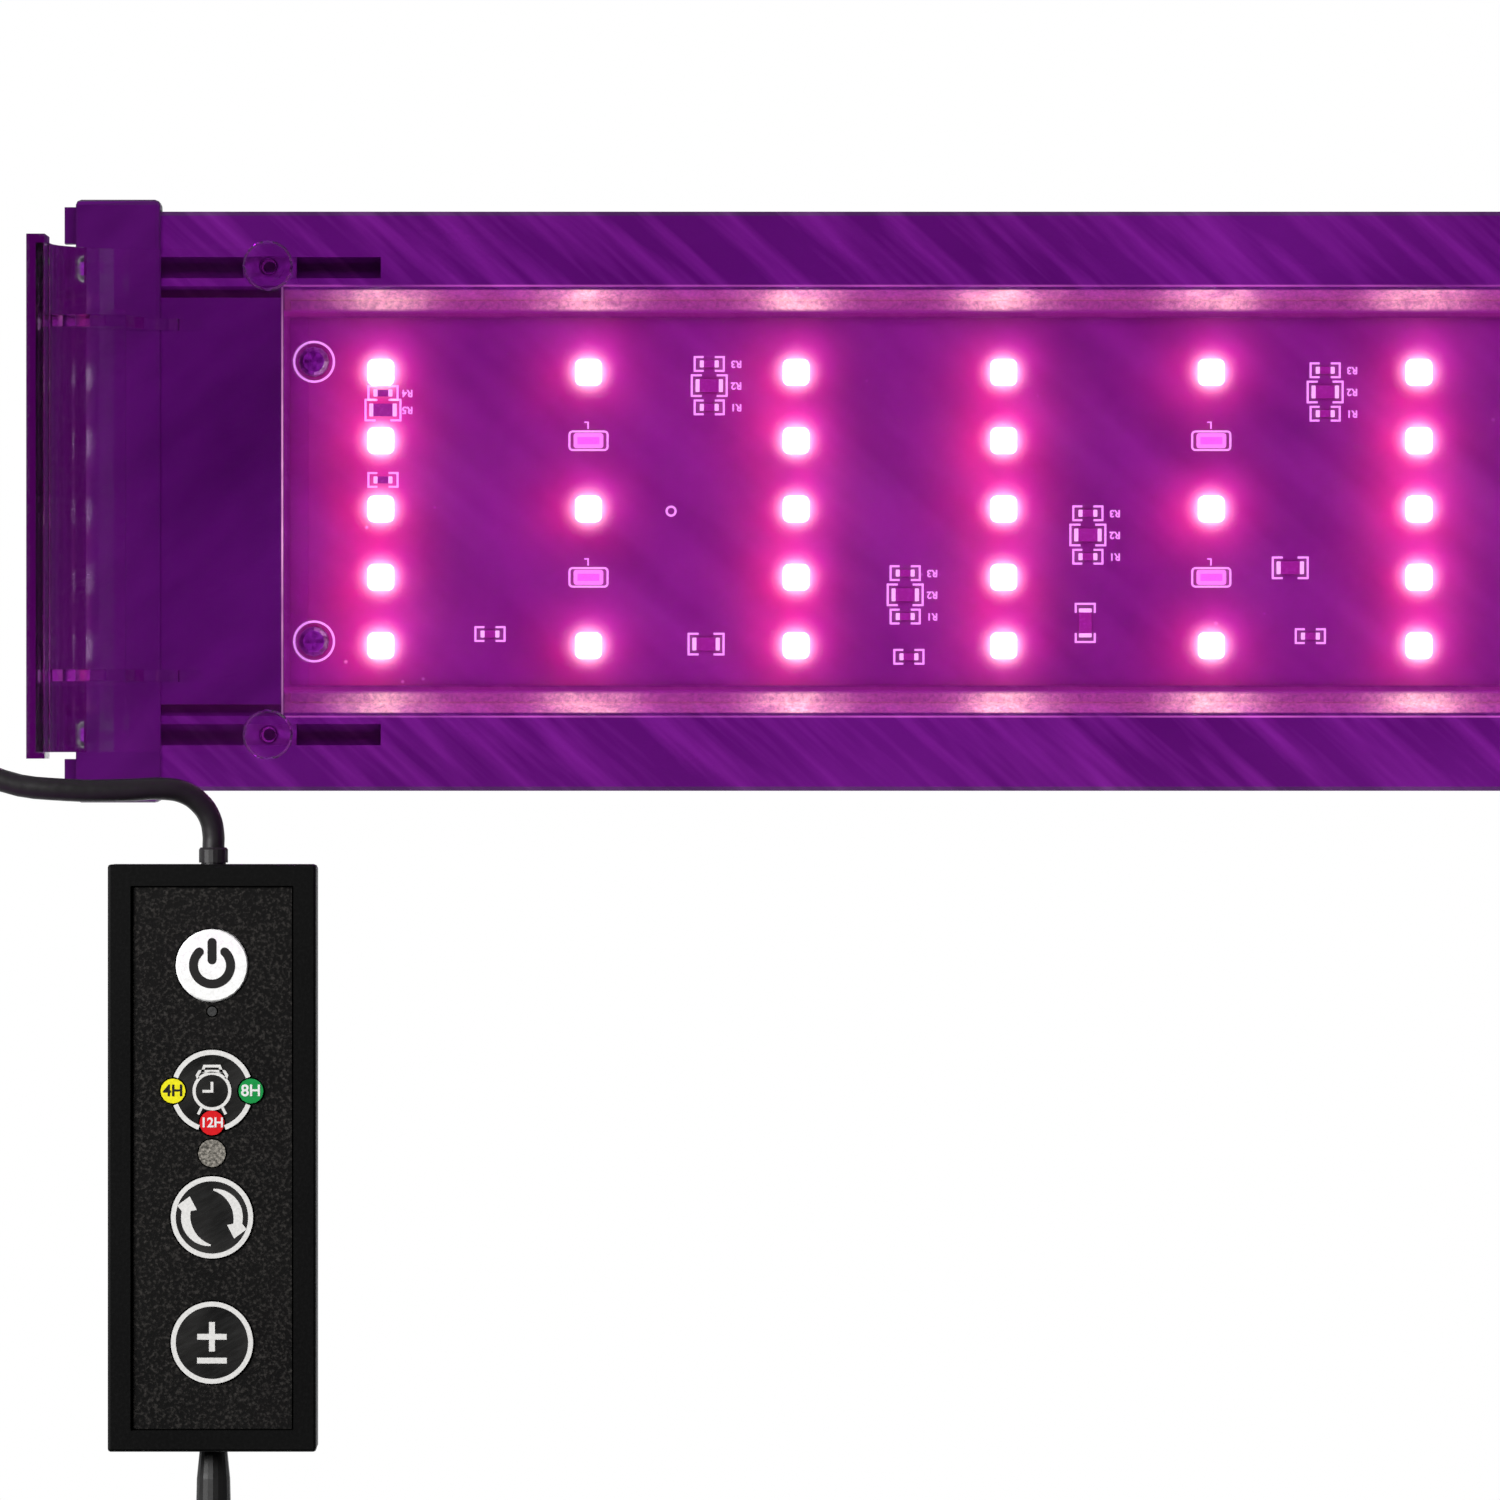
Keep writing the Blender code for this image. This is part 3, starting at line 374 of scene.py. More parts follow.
def solder_mask():
    """The board's lit face: a glossy mask over copper, painted light streaks, and the light that spills
    round every LED, painted as a glow.
    """
    made = Finish("solder_mask", specular=0.5, coat=0.3, coat_rough=0.25)
    cloud = made.noise(30.0, 4.0, 0.6)
    weave = made.noise(900.0, 2.0)
    base = made.mix(made.span(cloud, 0.3, 0.75), rgb(0.17, 0.16, 0.12), rgb(0.3, 0.27, 0.19))
    # Painted light streaks on the board, leaning as those on the underside do.
    sheen = made.noise(1.0, 2.0, 0.5, made.place((10.0, 90.0, 1.0), LIGHT_STREAK_TURN))
    base = made.mix(made.span(sheen, 0.4, 0.7, 0.0, 0.5), base, rgb(0.38, 0.4, 0.26))
    made.feed(color=base, rough=made.span(weave, 0.3, 0.7, 0.3, 0.45))
    made.glows(*spilled_light(made))
    return made.bump(weave, 0.1, 0.00004)


def lit_phosphor():
    made = Finish("lit_phosphor", color=rgb(0.9, 0.8, 0.6), rough=0.4)
    grain = made.noise(1800.0, 1.0)
    made.feed(glow_color=made.mix(grain, rgb(1.0, 0.78, 0.95), rgb(1.0, 0.9, 1.0)))
    made.feed(glow=made.span(grain, 0.2, 0.8, 11.0, 13.0))
    return made


def lit_package():
    made = Finish("lit_package", color=rgb(0.85, 0.82, 0.8), rough=0.45)
    grain = made.noise(1500.0, 2.0)
    made.feed(glow_color=made.mix(grain, rgb(1.0, 0.66, 0.9), rgb(1.0, 0.8, 0.96)))
    made.feed(glow=made.span(grain, 0.2, 0.8, 2.4, 3.2))
    return made


def lit_edge():
    """A painted glint on an edge: a glowing strip, brighter at its middle, where the LEDs are nearest."""
    made = Finish("lit_edge", color=rgb(0.12, 0.1, 0.12), rough=0.3)
    across = made.math("ABSOLUTE", made.node("SeparateXYZ", _0=made.place()).outputs[1])
    glint_patch = made.noise(160.0, 2.0)
    bright = made.product(made.span(across, 0.012, 0.042, 0.9, 0.14), made.span(glint_patch, 0.3, 0.7, 0.6, 1.1))
    return made.feed(glow_color=made.mix(glint_patch, rgb(0.9, 0.3, 0.66), rgb(1.0, 0.56, 0.8)), glow=bright)


def speckled(name, dark, bright, scale, specks, rough=0.5, relief=0.3, drifting=0.25, **fixed):
    """Fine bright specks, where the grain is within specks, on a darker ground that drifts towards them."""
    made = Finish(name, **fixed)
    grain = made.noise(scale, 3.0, 0.7)
    drift = made.noise(60.0, 2.0)
    ground = made.mix(made.span(drift, 0.3, 0.7, 0.0, drifting), rgb(*dark), rgb(*bright))
    made.feed(color=made.mix(made.span(grain, *specks), ground, rgb(*bright)))
    made.feed(rough=made.span(grain, 0.3, 0.7, rough - 0.08, rough + 0.08))
    return made.bump(grain, relief, 0.0001)


def gloss_key():
    """Glossy black print behind a clear dome, with a few fine scratches."""
    made = Finish("black_key", specular=0.6, coat=0.8, coat_rough=0.12)
    scratch = made.noise(1.0, 3.0, 0.7, made.place((260.0, 1500.0, 900.0), 30.0))
    sweep = made.noise(95.0, 1.0, 0.4)
    base = made.mix(made.span(sweep, 0.35, 0.75), rgb(0.006, 0.006, 0.006), rgb(0.03, 0.029, 0.028))
    made.feed(color=base, rough=made.span(scratch, 0.3, 0.7, 0.2, 0.36))
    return made.bump(sweep, 0.25, 0.0008)


def lead_rubber():
    made = Finish("lead_rubber", specular=0.4)
    skin = made.noise(700.0, 2.0)
    drift = made.noise(30.0, 2.0)
    made.feed(color=made.mix(drift, rgb(0.008, 0.008, 0.008), rgb(0.024, 0.023, 0.023)))
    made.feed(rough=made.span(skin, 0.3, 0.7, 0.36, 0.5))
    return made.bump(skin, 0.15, 0.00008)


def printed(name, color, glow=0.0):
    """Ink or a metal foil with a faint grain; a glow, where one is given, is painted light."""
    made = Finish(name, specular=0.3)
    grain = made.noise(2200.0, 2.0)
    darker = rgb(*(0.82 * part for part in color))
    made.feed(color=made.mix(made.span(grain, 0.3, 0.7), darker, rgb(*color)), rough=0.45)
    if glow:
        made.feed(glow_color=rgb(*color), glow=glow)
    return made


# Finishes for the record's material slots, and for the nodes that NODE_FINISHES names
FINISHES = {
    "anodised_aluminium": anodised(),
    "cap_plastic": cap_plastic(),
    "steel": brushed_steel(),
    "clear_plastic": clear_plastic("clear_plastic", rgb(0.96, 0.97, 0.97)),
    "splash_pane": clear_plastic("splash_pane", rgb(0.98, 0.97, 0.98), 0.02),
    "white_board": solder_mask(),
    "lit_seal": lit_seal(),
    "lead_rubber": lead_rubber(),
    "tie_strap": speckled("tie_strap", (0.012, 0.012, 0.012), (0.05, 0.05, 0.05), 900.0, (0.5, 0.8)),
    "case_plastic": speckled(
        "case_plastic", (0.0015, 0.0015, 0.0015), (0.005, 0.005, 0.005), 1600.0, (0.5, 0.8),
        rough=0.55, relief=0.2, specular=0.1,
    ),
    "case_back": speckled(
        "case_back", (0.011, 0.011, 0.0115), (0.028, 0.028, 0.029), 1600.0, (0.5, 0.8),
        relief=0.25, specular=0.4,
    ),
    "face_label": speckled(
        "face_label", (0.002, 0.0018, 0.0018), (0.045, 0.041, 0.038), 1500.0, (0.5, 0.74),
        rough=0.6, relief=0.5, drifting=0.04, specular=0.12,
    ),
    "circuit_board": speckled(
        "circuit_board", (0.01, 0.09, 0.03), (0.04, 0.2, 0.08), 700.0, (0.45, 0.75), rough=0.4, relief=0.1
    ),
    "silver_key": speckled(
        "silver_key", (0.66, 0.65, 0.64), (0.98, 0.98, 0.97), 1500.0, (0.15, 0.6),
        rough=0.4, relief=0.12, drifting=0.6,
    ),
    "black_key": gloss_key(),
    "smoked_lens": speckled(
        "smoked_lens", (0.03, 0.028, 0.024), (0.42, 0.39, 0.34), 1700.0, (0.4, 0.68),
        rough=0.35, relief=0.35, coat=0.3,
    ),
    "status_lens": speckled(
        "status_lens", (0.02, 0.02, 0.02), (0.06, 0.06, 0.06), 1500.0, (0.4, 0.8), rough=0.4
    ),
    "yellow_lens": printed("yellow_lens", (0.9, 0.83, 0.01)),
    "green_lens": printed("green_lens", (0.004, 0.3, 0.06)),
    "red_lens": printed("red_lens", (0.72, 0.005, 0.01)),
}  # fmt: skip
NODE_FINISHES = {
    "splash_cover": "splash_pane", "status_lens": "status_lens", "controller_base": "case_back",
    "cover_seal_rear": "lit_seal", "cover_seal_front": "lit_seal",
}  # fmt: skip
LIT_PHOSPHOR = lit_phosphor()
LIT_PACKAGE = lit_package()
PAINTED_EDGE_GLINT = lit_edge()
# The silk ink's glow is painted light: the LEDs' light on the print.
SILK_INK = printed("silk_ink", (0.9, 0.6, 0.82), 0.6)
# The dim LEDs' frames and lenses glow pink: painted light from the lit LEDs round them.
PLAIN_PACKAGE = printed("plain_package", (0.9, 0.36, 0.75), 0.7)
PLAIN_LENS = printed("plain_lens", (0.8, 0.2, 0.6), 0.6)
# The resistor bodies' glow is painted light from the LEDs.
RESISTOR_BODY = speckled(
    "resistor_body", (0.13, 0.1, 0.12), (0.3, 0.2, 0.26), 1900.0, (0.5, 0.8),
    rough=0.4, glow_color=rgb(0.5, 0.02, 0.25), glow=0.4,
)  # fmt: skip
# The solder's glow is painted light: the LEDs' light on the resistors' ends.
SOLDER = printed("solder", (0.9, 0.72, 0.8), 0.7)
FOIL = printed("silver_foil", (0.8, 0.79, 0.77))
BLACK_INK = printed("black_ink", (0.014, 0.013, 0.013))
WHITE_INK = printed("white_ink", (0.85, 0.85, 0.85))


def finish_nodes():
    """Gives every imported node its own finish, or that of its material slot."""
    slots = {row["node"]: row["material_slot"] for row in frame["record"]["subparts"]}
    for name, node in frame["nodes"].items():
        finish = FINISHES[NODE_FINISHES.get(name, slots[name])]
        for material_slot in node.material_slots:
            material_slot.material = finish.material
        node.data.shade_smooth()


# --- shapes --------------------------------------------------------------------------------------


def piece(name, mesh, finish, body, replaces=(), bevel=0.0):
    """Turns a bmesh into a piece that rides on a body and takes the finish that it is given."""
    bmesh.ops.recalc_face_normals(mesh, faces=mesh.faces)
    data = bpy.data.meshes.new(name)
    mesh.to_mesh(data)
    mesh.free()
    data.materials.append(finish.material)
    made = bpy.data.objects.new(name, data)
    SCENE.collection.objects.link(made)
    if bevel:
        rounding = made.modifiers.new("edges", "BEVEL")
        rounding.width = bevel * MM
        rounding.segments = 2
        rounding.limit_method = "ANGLE"
    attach(made, body)
    if replaces:
        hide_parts(*replaces)
    return made


def prism(mesh, outline, low, high):
    """A flat shape: (x, y) points between two heights, in millimetres."""
    rings = [[mesh.verts.new((x * MM, y * MM, z * MM)) for x, y in outline] for z in (low, high)]
    for ring in rings:
        mesh.faces.new(ring)
    for i in range(len(outline)):
        mesh.faces.new((rings[0][i - 1], rings[0][i], rings[1][i], rings[1][i - 1]))


def beside(points, closed):
    """The direction across a line at each point, long enough to keep its width round a corner."""
    across = []
    for i, here in enumerate(points):
        before = points[i - 1] if i or closed else None
        after = points[(i + 1) % len(points)] if closed or i + 1 < len(points) else None
        into = (Vector(here) - Vector(before)).normalized() if before else None
        out = (Vector(after) - Vector(here)).normalized() if after else into
        into = into or out
        middle = (into + out).normalized()
        side = Vector((-middle.y, middle.x))
        across.append(side / max(0.35, side.dot(Vector((-into.y, into.x)))))
    return across


def stroke(mesh, points, width, low, high, closed=False):
    """A flat line of even width through (x, y) points."""
    corners = []
    for point, across in zip(points, beside(points, closed)):
        sides = (Vector(point) + across * width / 2, Vector(point) - across * width / 2)
        corners.append([mesh.verts.new((s.x * MM, s.y * MM, z * MM)) for z in (low, high) for s in sides])
    for i in range(0 if closed else 1, len(corners)):
        a, b = corners[i - 1], corners[i]
        for p, q in ((0, 1), (1, 3), (3, 2), (2, 0)):
            mesh.faces.new((a[p], a[q], b[q], b[p]))
    if not closed:
        for end in (corners[0], corners[-1]):
            mesh.faces.new((end[0], end[1], end[3], end[2]))


def arc(x, y, radius, start, end, steps=24):
    """Points on a circle between two angles in degrees, both included."""
    angles = [math.radians(start + (end - start) * i / steps) for i in range(steps + 1)]
    return [(x + radius * math.cos(a), y + radius * math.sin(a)) for a in angles]


def circle(x, y, radius, steps=48):
    return arc(x, y, radius, 0.0, 360.0, steps)[:-1]


def rectangle(x, y, half_x, half_y, corner=0.0):
    """An outline whose corners are rounded."""
    points = []
    for start, sx, sy in ((0.0, 1, 1), (90.0, -1, 1), (180.0, -1, -1), (270.0, 1, -1)):
        middle = (x + sx * (half_x - corner), y + sy * (half_y - corner))
        points += arc(*middle, corner, start, start + 90.0, 4) if corner else [middle]
    return points


def glyphs(mesh, text, size, x, y, low, high, upright=True, bold=0.0):
    """Lettering that reads right from below, centred on (x, y)."""
    curve = bpy.data.curves.new("glyphs", "FONT")
    curve.body = text
    curve.size = size * MM
    curve.offset = bold * MM
    curve.align_x = "CENTER"
    curve.align_y = "CENTER"
    curve.extrude = (high - low) / 2 * MM
    holder = bpy.data.objects.new("glyphs", curve)
    SCENE.collection.objects.link(holder)
    bpy.context.view_layer.update()
    data = bpy.data.meshes.new_from_object(holder.evaluated_get(bpy.context.evaluated_depsgraph_get()))
    turn = 1.0 if upright else -1.0
    for vertex in data.vertices:
        vertex.co.x = x * MM - turn * vertex.co.x
        vertex.co.y = y * MM + turn * vertex.co.y
        vertex.co.z += (low + high) / 2 * MM
    mesh.from_mesh(data)
    bpy.data.objects.remove(holder)
    bpy.data.curves.remove(curve)
    bpy.data.meshes.remove(data)


# --- board ---------------------------------------------------------------------------------------


def led_places():
    """(x, y, dim) of every LED: a three-LED column holds two dim ones in its gaps."""
    places = []
    for column in range(COLUMNS):
        x = (column - (COLUMNS - 1) / 2) * COLUMN_PITCH
        full = COLUMN_PATTERN[column % len(COLUMN_PATTERN)] == 5
        for row in range(5):
            places.append((x, ROW_SHIFT + (row - 2) * ROW_PITCH, not full and row % 2 == 1))
    return places


LIT = [(x, y) for x, y, dim in led_places() if not dim]
DIM = [(x, y) for x, y, dim in led_places() if dim]
TRIPLES = [(153.6, 21.9), (116.6, -17.6), (82.1, -6.3), (37.3, 20.7)]
SMALL_RESISTORS = [(195.0, -25.0), (115.9, -29.3), (40.1, -25.4), (215.2, 20.5), (215.2, 4.1)]
LARGE_RESISTORS = [(154.2, -26.9), (43.9, -12.5), (215.2, 17.3)]
MARKED = {"R4": (215.2, 20.5), "R5": (215.2, 17.3)}
JUMPER = (82.6, -22.9)
FIDUCIAL = (160.8, -1.8)
TRIPLE_STEP = 4.1


def mirrored(places):
    """The board's other half carries the same parts, mirrored."""
    return [(side * x, y) for side in (1, -1) for x, y in places]


def small_resistors():
    stacked = [(x, y + side * TRIPLE_STEP) for x, y in TRIPLES for side in (-1, 1)]
    return mirrored(SMALL_RESISTORS + stacked)


def large_resistors():
    return mirrored(LARGE_RESISTORS + TRIPLES)


def light_near(x, y, reach):
    """How brightly the glow painted on the board shows at a point, for the LEDs round it, from 0 to about 1.
    """
    total = 0.0
    for led_x, led_y in LIT:
        away = math.hypot(x - led_x, y - led_y)
        if away < 4.5 * reach:
            total += math.exp(-((max(0.0, away - LED_HALF) / reach) ** 1.25))
    return total


def board_face():
    """The mask on a fine grid, which carries how close each point is to a lit LED, as the strength of the
    glow painted round it.
    """
    mesh = bmesh.new()
    bmesh.ops.create_grid(mesh, x_segments=FACE_GRID[0], y_segments=FACE_GRID[1], size=1.0)
    for vertex in mesh.verts:
        vertex.co.x *= BOARD_HALF_LENGTH * MM
        vertex.co.y *= BOARD_HALF_WIDTH * MM
        vertex.co.z = BOARD_LOW * MM
    slab = bmesh.ops.extrude_face_region(mesh, geom=mesh.faces[:])
    for element in slab["geom"]:
        if isinstance(element, bmesh.types.BMVert):
            element.co.z = BOARD_HIGH * MM
    made = piece("light_board", mesh, FINISHES["white_board"], "lamp", ("led_board",))
    for name, (reach, drift_x, drift_y) in SPILLS.items():
        spill = made.data.attributes.new(name, "FLOAT", "POINT")
        for i, vertex in enumerate(made.data.vertices):
            if vertex.co.z < (BOARD_LOW + 0.1) * MM:
                x, y = vertex.co.x / MM - drift_x, vertex.co.y / MM - drift_y
                spill.data[i].value = light_near(x, y, reach)


def board_packages():
    lit, phosphor, plain, lens = (bmesh.new() for _ in range(4))
    for x, y in LIT:
        stroke(lit, rectangle(x, y, 2.2, 2.2, 0.9), 0.6, *PACKAGE, closed=True)
        prism(phosphor, rectangle(x, y, 1.95, 1.95, 0.7), *PHOSPHOR)
    for x, y in DIM:
        stroke(plain, rectangle(x, y, 2.45, 1.05, 0.15), 0.7, *PACKAGE, closed=True)
        prism(lens, rectangle(x, y, 2.15, 0.75, 0.2), *DIM_LENS)
        stroke(lens, rectangle(x, y, 0.9, 0.35), 0.2, *DIM_CHIP, closed=True)
    piece("led_packages", lit, LIT_PACKAGE, "lamp", bevel=0.08)
    piece("led_phosphors", phosphor, LIT_PHOSPHOR, "lamp", bevel=0.12)
    piece("dim_led_packages", plain, PLAIN_PACKAGE, "lamp", bevel=0.08)
    piece("dim_led_lenses", lens, PLAIN_LENS, "lamp", bevel=0.05)


def brackets(mesh, x, y, half_x, half_y, arm, upright=False):
    """Two printed square brackets round a part."""
    for side in (-1, 1):
        bent = [(side * (half_x - arm), half_y), (side * half_x, half_y)]
        bent += [(u, -v) for u, v in reversed(bent)]
        line = [(x + v, y + u) if upright else (x + u, y + v) for u, v in bent]
        stroke(mesh, line, SILK_WIDTH, *SILK)


def chip(bodies, ends, x, y, half_x, half_y, high, upright=False):
    """A surface-mount resistor: a dark body and two soldered ends."""
    if upright:
        prism(bodies, rectangle(x, y, half_y, half_x - 0.7), BOARD_LOW - high, BOARD_LOW)
    else:
        prism(bodies, rectangle(x, y, half_x - 0.7, half_y), BOARD_LOW - high, BOARD_LOW)
    for side in (-1, 1):
        u = side * (half_x - 0.35)
        px, py, hx, hy = (x, y + u, half_y, 0.38) if upright else (x + u, y, 0.38, half_y)
        prism(ends, rectangle(px, py, hx, hy, 0.12), BOARD_LOW - high - 0.04, BOARD_LOW)


def board_chips():
    """Resistors and jumpers, and the printed brackets round them, which go into silk."""
    bodies, ends, silk = bmesh.new(), bmesh.new(), bmesh.new()
    for x, y in small_resistors():
        chip(bodies, ends, x, y, 1.75, 0.65, 0.5)
        brackets(silk, x, y, 2.75, 1.3, 1.7)
    for x, y in large_resistors():
        chip(bodies, ends, x, y, 2.55, 1.2, 0.6)
        brackets(silk, x, y, 3.3, 1.95, 1.9)
    for x, y in mirrored([JUMPER]):
        chip(bodies, ends, x, y, 2.7, 1.2, 0.6, upright=True)
        brackets(silk, x, y, 3.6, 1.8, 1.7, upright=True)
    return bodies, ends, silk


def board_mark(silk, text, x, y):
    glyphs(silk, text, MARK_SIZE, x, y, *SILK, upright=False, bold=MARK_BOLD)


def board_parts():
    bodies, ends, silk = board_chips()
    for x, y in mirrored(TRIPLES):
        for step, text in enumerate(("R1", "R2", "R3")):
            board_mark(silk, text, x - 5.1, y + (step - 1) * TRIPLE_STEP)
    for text, place in MARKED.items():
        for x, y in mirrored([place]):
            board_mark(silk, text, x - 4.6, y)
    for x, y in DIM:
        stroke(silk, rectangle(x, y, 3.6, 1.75, 0.6), SILK_WIDTH, *SILK, closed=True)
        board_mark(silk, "L", x + 0.3, y + 3.0)
    for x, y in mirrored([FIDUCIAL]):
        stroke(silk, circle(x, y, 0.85, 24), 0.4, *SILK, closed=True)
    for x, y in mirrored([(BOARD_SCREW_X, side * BOARD_SCREW_Y) for side in (-1, 1)]):
        stroke(silk, circle(x, y, 3.75), 0.42, *SILK, closed=True)
    piece("resistor_bodies", bodies, RESISTOR_BODY, "lamp", bevel=0.1)
    piece("resistor_ends", ends, SOLDER, "lamp", bevel=0.08)
    piece("board_print", silk, SILK_INK, "lamp")


def lit_edges():
    """Thin glowing strips on the end caps' inner edges: painted glints of the LEDs' light."""
    for end, side in (("right", 1), ("left", -1)):
        edge = bmesh.new()
        line = [(side * CAP_EDGE_X, y) for y in (-CAP_EDGE_HALF, CAP_EDGE_HALF)]
        stroke(edge, line, CAP_EDGE_WIDTH, *CAP_EDGE)
        piece(f"{end}_cap_edge", edge, PAINTED_EDGE_GLINT, "lamp")


# --- controller's face ---------------------------------------------------------------------------


def seen(key, points):
    """Points right and up of a key's middle, as its face is read from below."""
    return [(CONTROLLER[0] - u, CONTROLLER[1] + KEYS[key] + v) for u, v in points]


def power_symbol():
    """A broken ring and a bar, both with round ends."""
    mesh = bmesh.new()
    radius, half = 3.43, 0.83
    start, end = 133.0, 407.0
    middles = [arc(0.0, 0.0, radius, angle, angle, 1)[0] for angle in (start, end)]
    outline = arc(0.0, 0.0, radius + half, start, end, 48)
    outline += arc(*middles[1], half, end, end + 180.0, 8)[1:-1]
    outline += arc(0.0, 0.0, radius - half, end, start, 48)
    outline += arc(*middles[0], half, start - 180.0, start, 8)[1:-1]
    prism(mesh, seen("power", outline), *KEY_PRINT)
    prism(mesh, seen("power", rectangle(0.0, 2.65, half, 2.45, half - 0.01)), *KEY_PRINT)
    piece("power_symbol", mesh, BLACK_INK, "power_button")


def ring(mesh, key):
    stroke(mesh, seen(key, circle(0.0, 0.0, RING_R, 72)), RING_WIDTH, *KEY_PRINT, closed=True)


def timer_symbol():
    """An alarm clock in a ring that is broken where the indicators sit."""
    mesh = bmesh.new()
    for start, end in ((20.5, 159.5), (200.5, 250.5), (289.5, 339.5)):
        stroke(mesh, seen("timer", arc(0.0, 0.0, RING_R, start, end, 40)), RING_WIDTH, *KEY_PRINT)
    stroke(mesh, seen("timer", circle(0.0, 0.0, 3.3, 40)), 0.58, *KEY_PRINT, closed=True)
    stroke(mesh, seen("timer", [(0.0, 1.7), (0.0, -0.05), (-1.75, -0.05)]), THIN, *KEY_PRINT)
    handle = [(-1.75, 3.65), (-1.4, 4.6), (1.4, 4.6), (1.75, 3.65)]
    stroke(mesh, seen("timer", handle), THIN, *KEY_PRINT, closed=True)
    for side in (-1, 1):
        bell = [(side * u, v) for u, v in ((1.35, 3.75), (2.3, 3.6), (2.75, 2.9), (2.55, 2.3))]
        stroke(mesh, seen("timer", bell), THIN, *KEY_PRINT)
        foot = [(side * u, v) for u, v in ((1.9, -3.0), (2.55, -4.3))]
        stroke(mesh, seen("timer", foot), THIN, *KEY_PRINT)
    piece("timer_symbol", mesh, FOIL, "timer_button")


def mode_symbol():
    """Two curved arrows that chase each other, each thin at its tail."""
    mesh = bmesh.new()
    ring(mesh, "mode")
    outer = arc(0.45, 0.05, 5.25, 92.0, -13.0, 24)
    head = [(6.4, -2.2), (4.1, -3.9), (2.8, -1.4)]
    inner = arc(-1.6, -0.3, 5.6, -9.0, 71.0, 24)
    for turn in (1, -1):
        prism(mesh, seen("mode", [(turn * u, turn * v) for u, v in outer + head + inner]), *KEY_PRINT)
    piece("mode_symbol", mesh, FOIL, "mode_button")


def level_symbol():
    """A plus, as one outline, over a minus."""
    mesh = bmesh.new()
    ring(mesh, "level")
    long, half, middle = 2.72, 0.54, 1.1
    plus = [(half, long), (half, half), (long, half), (long, -half), (half, -half), (half, -long)]
    plus += [(-u, -v) for u, v in plus]
    prism(mesh, seen("level", [(u, v + middle) for u, v in plus]), *KEY_PRINT)
    stroke(mesh, seen("level", [(-2.75, -3.3), (2.75, -3.3)]), 1.07, *KEY_PRINT)
    piece("level_symbol", mesh, FOIL, "level_button")


def hour_marks():
    for colour, (text, dx, dy) in HOUR_DOTS.items():
        mesh = bmesh.new()
        x, y = CONTROLLER[0] + dx, CONTROLLER[1] + KEYS["timer"] + dy
        size = 2.5 if colour == "red" else 3.0
        glyphs(mesh, text, size, x, y, *DOT_PRINT, bold=0.06)
        ink = BLACK_INK if colour == "yellow" else WHITE_INK
        piece(f"{colour}_hours", mesh, ink, "lamp")


# --- leads ---------------------------------------------------------------------------------------


def eased(value, low, high):
    """0 below low, 1 above high, and a smooth rise between."""
    t = min(1.0, max(0.0, (value - low) / (high - low)))
    return t * t * (3.0 - 2.0 * t)


def coil_points(centre, entry):
    """Four turns, from outside in along the bottom, then up, then from inside out, and over the crossing."""
    outer, inner = COIL_R
    low, high, over = COIL_Z
    points = []
    for step in range(4 * COIL_STEPS + 1):
        turned = 360.0 * step / COIL_STEPS
        radius = outer + (inner - outer) * (eased(turned, 300.0, 360.0) - eased(turned, 1020.0, 1080.0))
        z = low + (high - low) * eased(turned, 655.0, 720.0) + (over - high) * eased(turned, 1330.0, 1390.0)
        angle = math.radians(entry + turned)
        points.append((centre[0] + radius * math.cos(angle), centre[1] + radius * math.sin(angle), z))
    return points


def carried_on(end, inner):
    """The point that a straight step past the end of a route reaches, inside the boot or plug there."""
    end = Vector(end)
    return end + (end - Vector(inner)).normalized() * LEAD_INTO


def lead(name, points):
    """A round lead on one smooth curve through its points, with both ends hidden in what holds them."""
    points = [carried_on(points[0], points[1]), *points, carried_on(points[-1], points[-2])]
    curve = bpy.data.curves.new(name, "CURVE")
    curve.dimensions = "3D"
    curve.bevel_depth = LEAD_R * MM
    curve.bevel_resolution = 4
    curve.resolution_u = 4
    curve.use_fill_caps = True
    line = curve.splines.new("BEZIER")
    line.bezier_points.add(len(points) - 1)
    for knot, point in zip(line.bezier_points, points):
        knot.co = Vector(point) * MM
        knot.handle_left_type = "AUTO"
        knot.handle_right_type = "AUTO"
    curve.materials.append(FINISHES["lead_rubber"].material)
    made = bpy.data.objects.new(name, curve)
    SCENE.collection.objects.link(made)
    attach(made, "lamp")
    return made


def leads():
    controller = [name for name in frame["nodes"] if name.startswith("controller_")]
    controller += [f"{key}_switch" for key in KEYS]
    controller += ["face_label", "status_lens", "sensor_window"]
    controller += [f"indicator_{colour}" for colour in HOUR_DOTS]
    controller += [f"{key}_button" for key in KEYS]
    lamp_points = LAMP_LEAD_DROP + coil_points(*LAMP_COIL) + LAMP_LEAD_RUN
    lamp_lead = lead("lamp_lead", lamp_points)
    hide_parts("lamp_lead_drop", "lamp_lead_coil", "lamp_lead_run")
    supply_points = SUPPLY_LEAD_START + coil_points(*SUPPLY_COIL) + SUPPLY_LEAD_END
    supply_lead = lead("supply_lead", supply_points)
    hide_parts("supply_lead_start", "supply_lead_coil", "supply_lead_end")


# --- studio --------------------------------------------------------------------------------------


def camera():
    """Straight below the lamp's right end, with a long lens, as the lit side is seen from the tank."""
    data = bpy.data.cameras.new("camera")
    data.sensor_width = SENSOR
    data.lens = LENS
    data.clip_end = 100.0
    made = bpy.data.objects.new("camera", data)
    made.location = CAMERA_PLACE
    made.rotation_euler = (0.0, math.pi, 0.0)
    SCENE.collection.objects.link(made)
    SCENE.camera = made


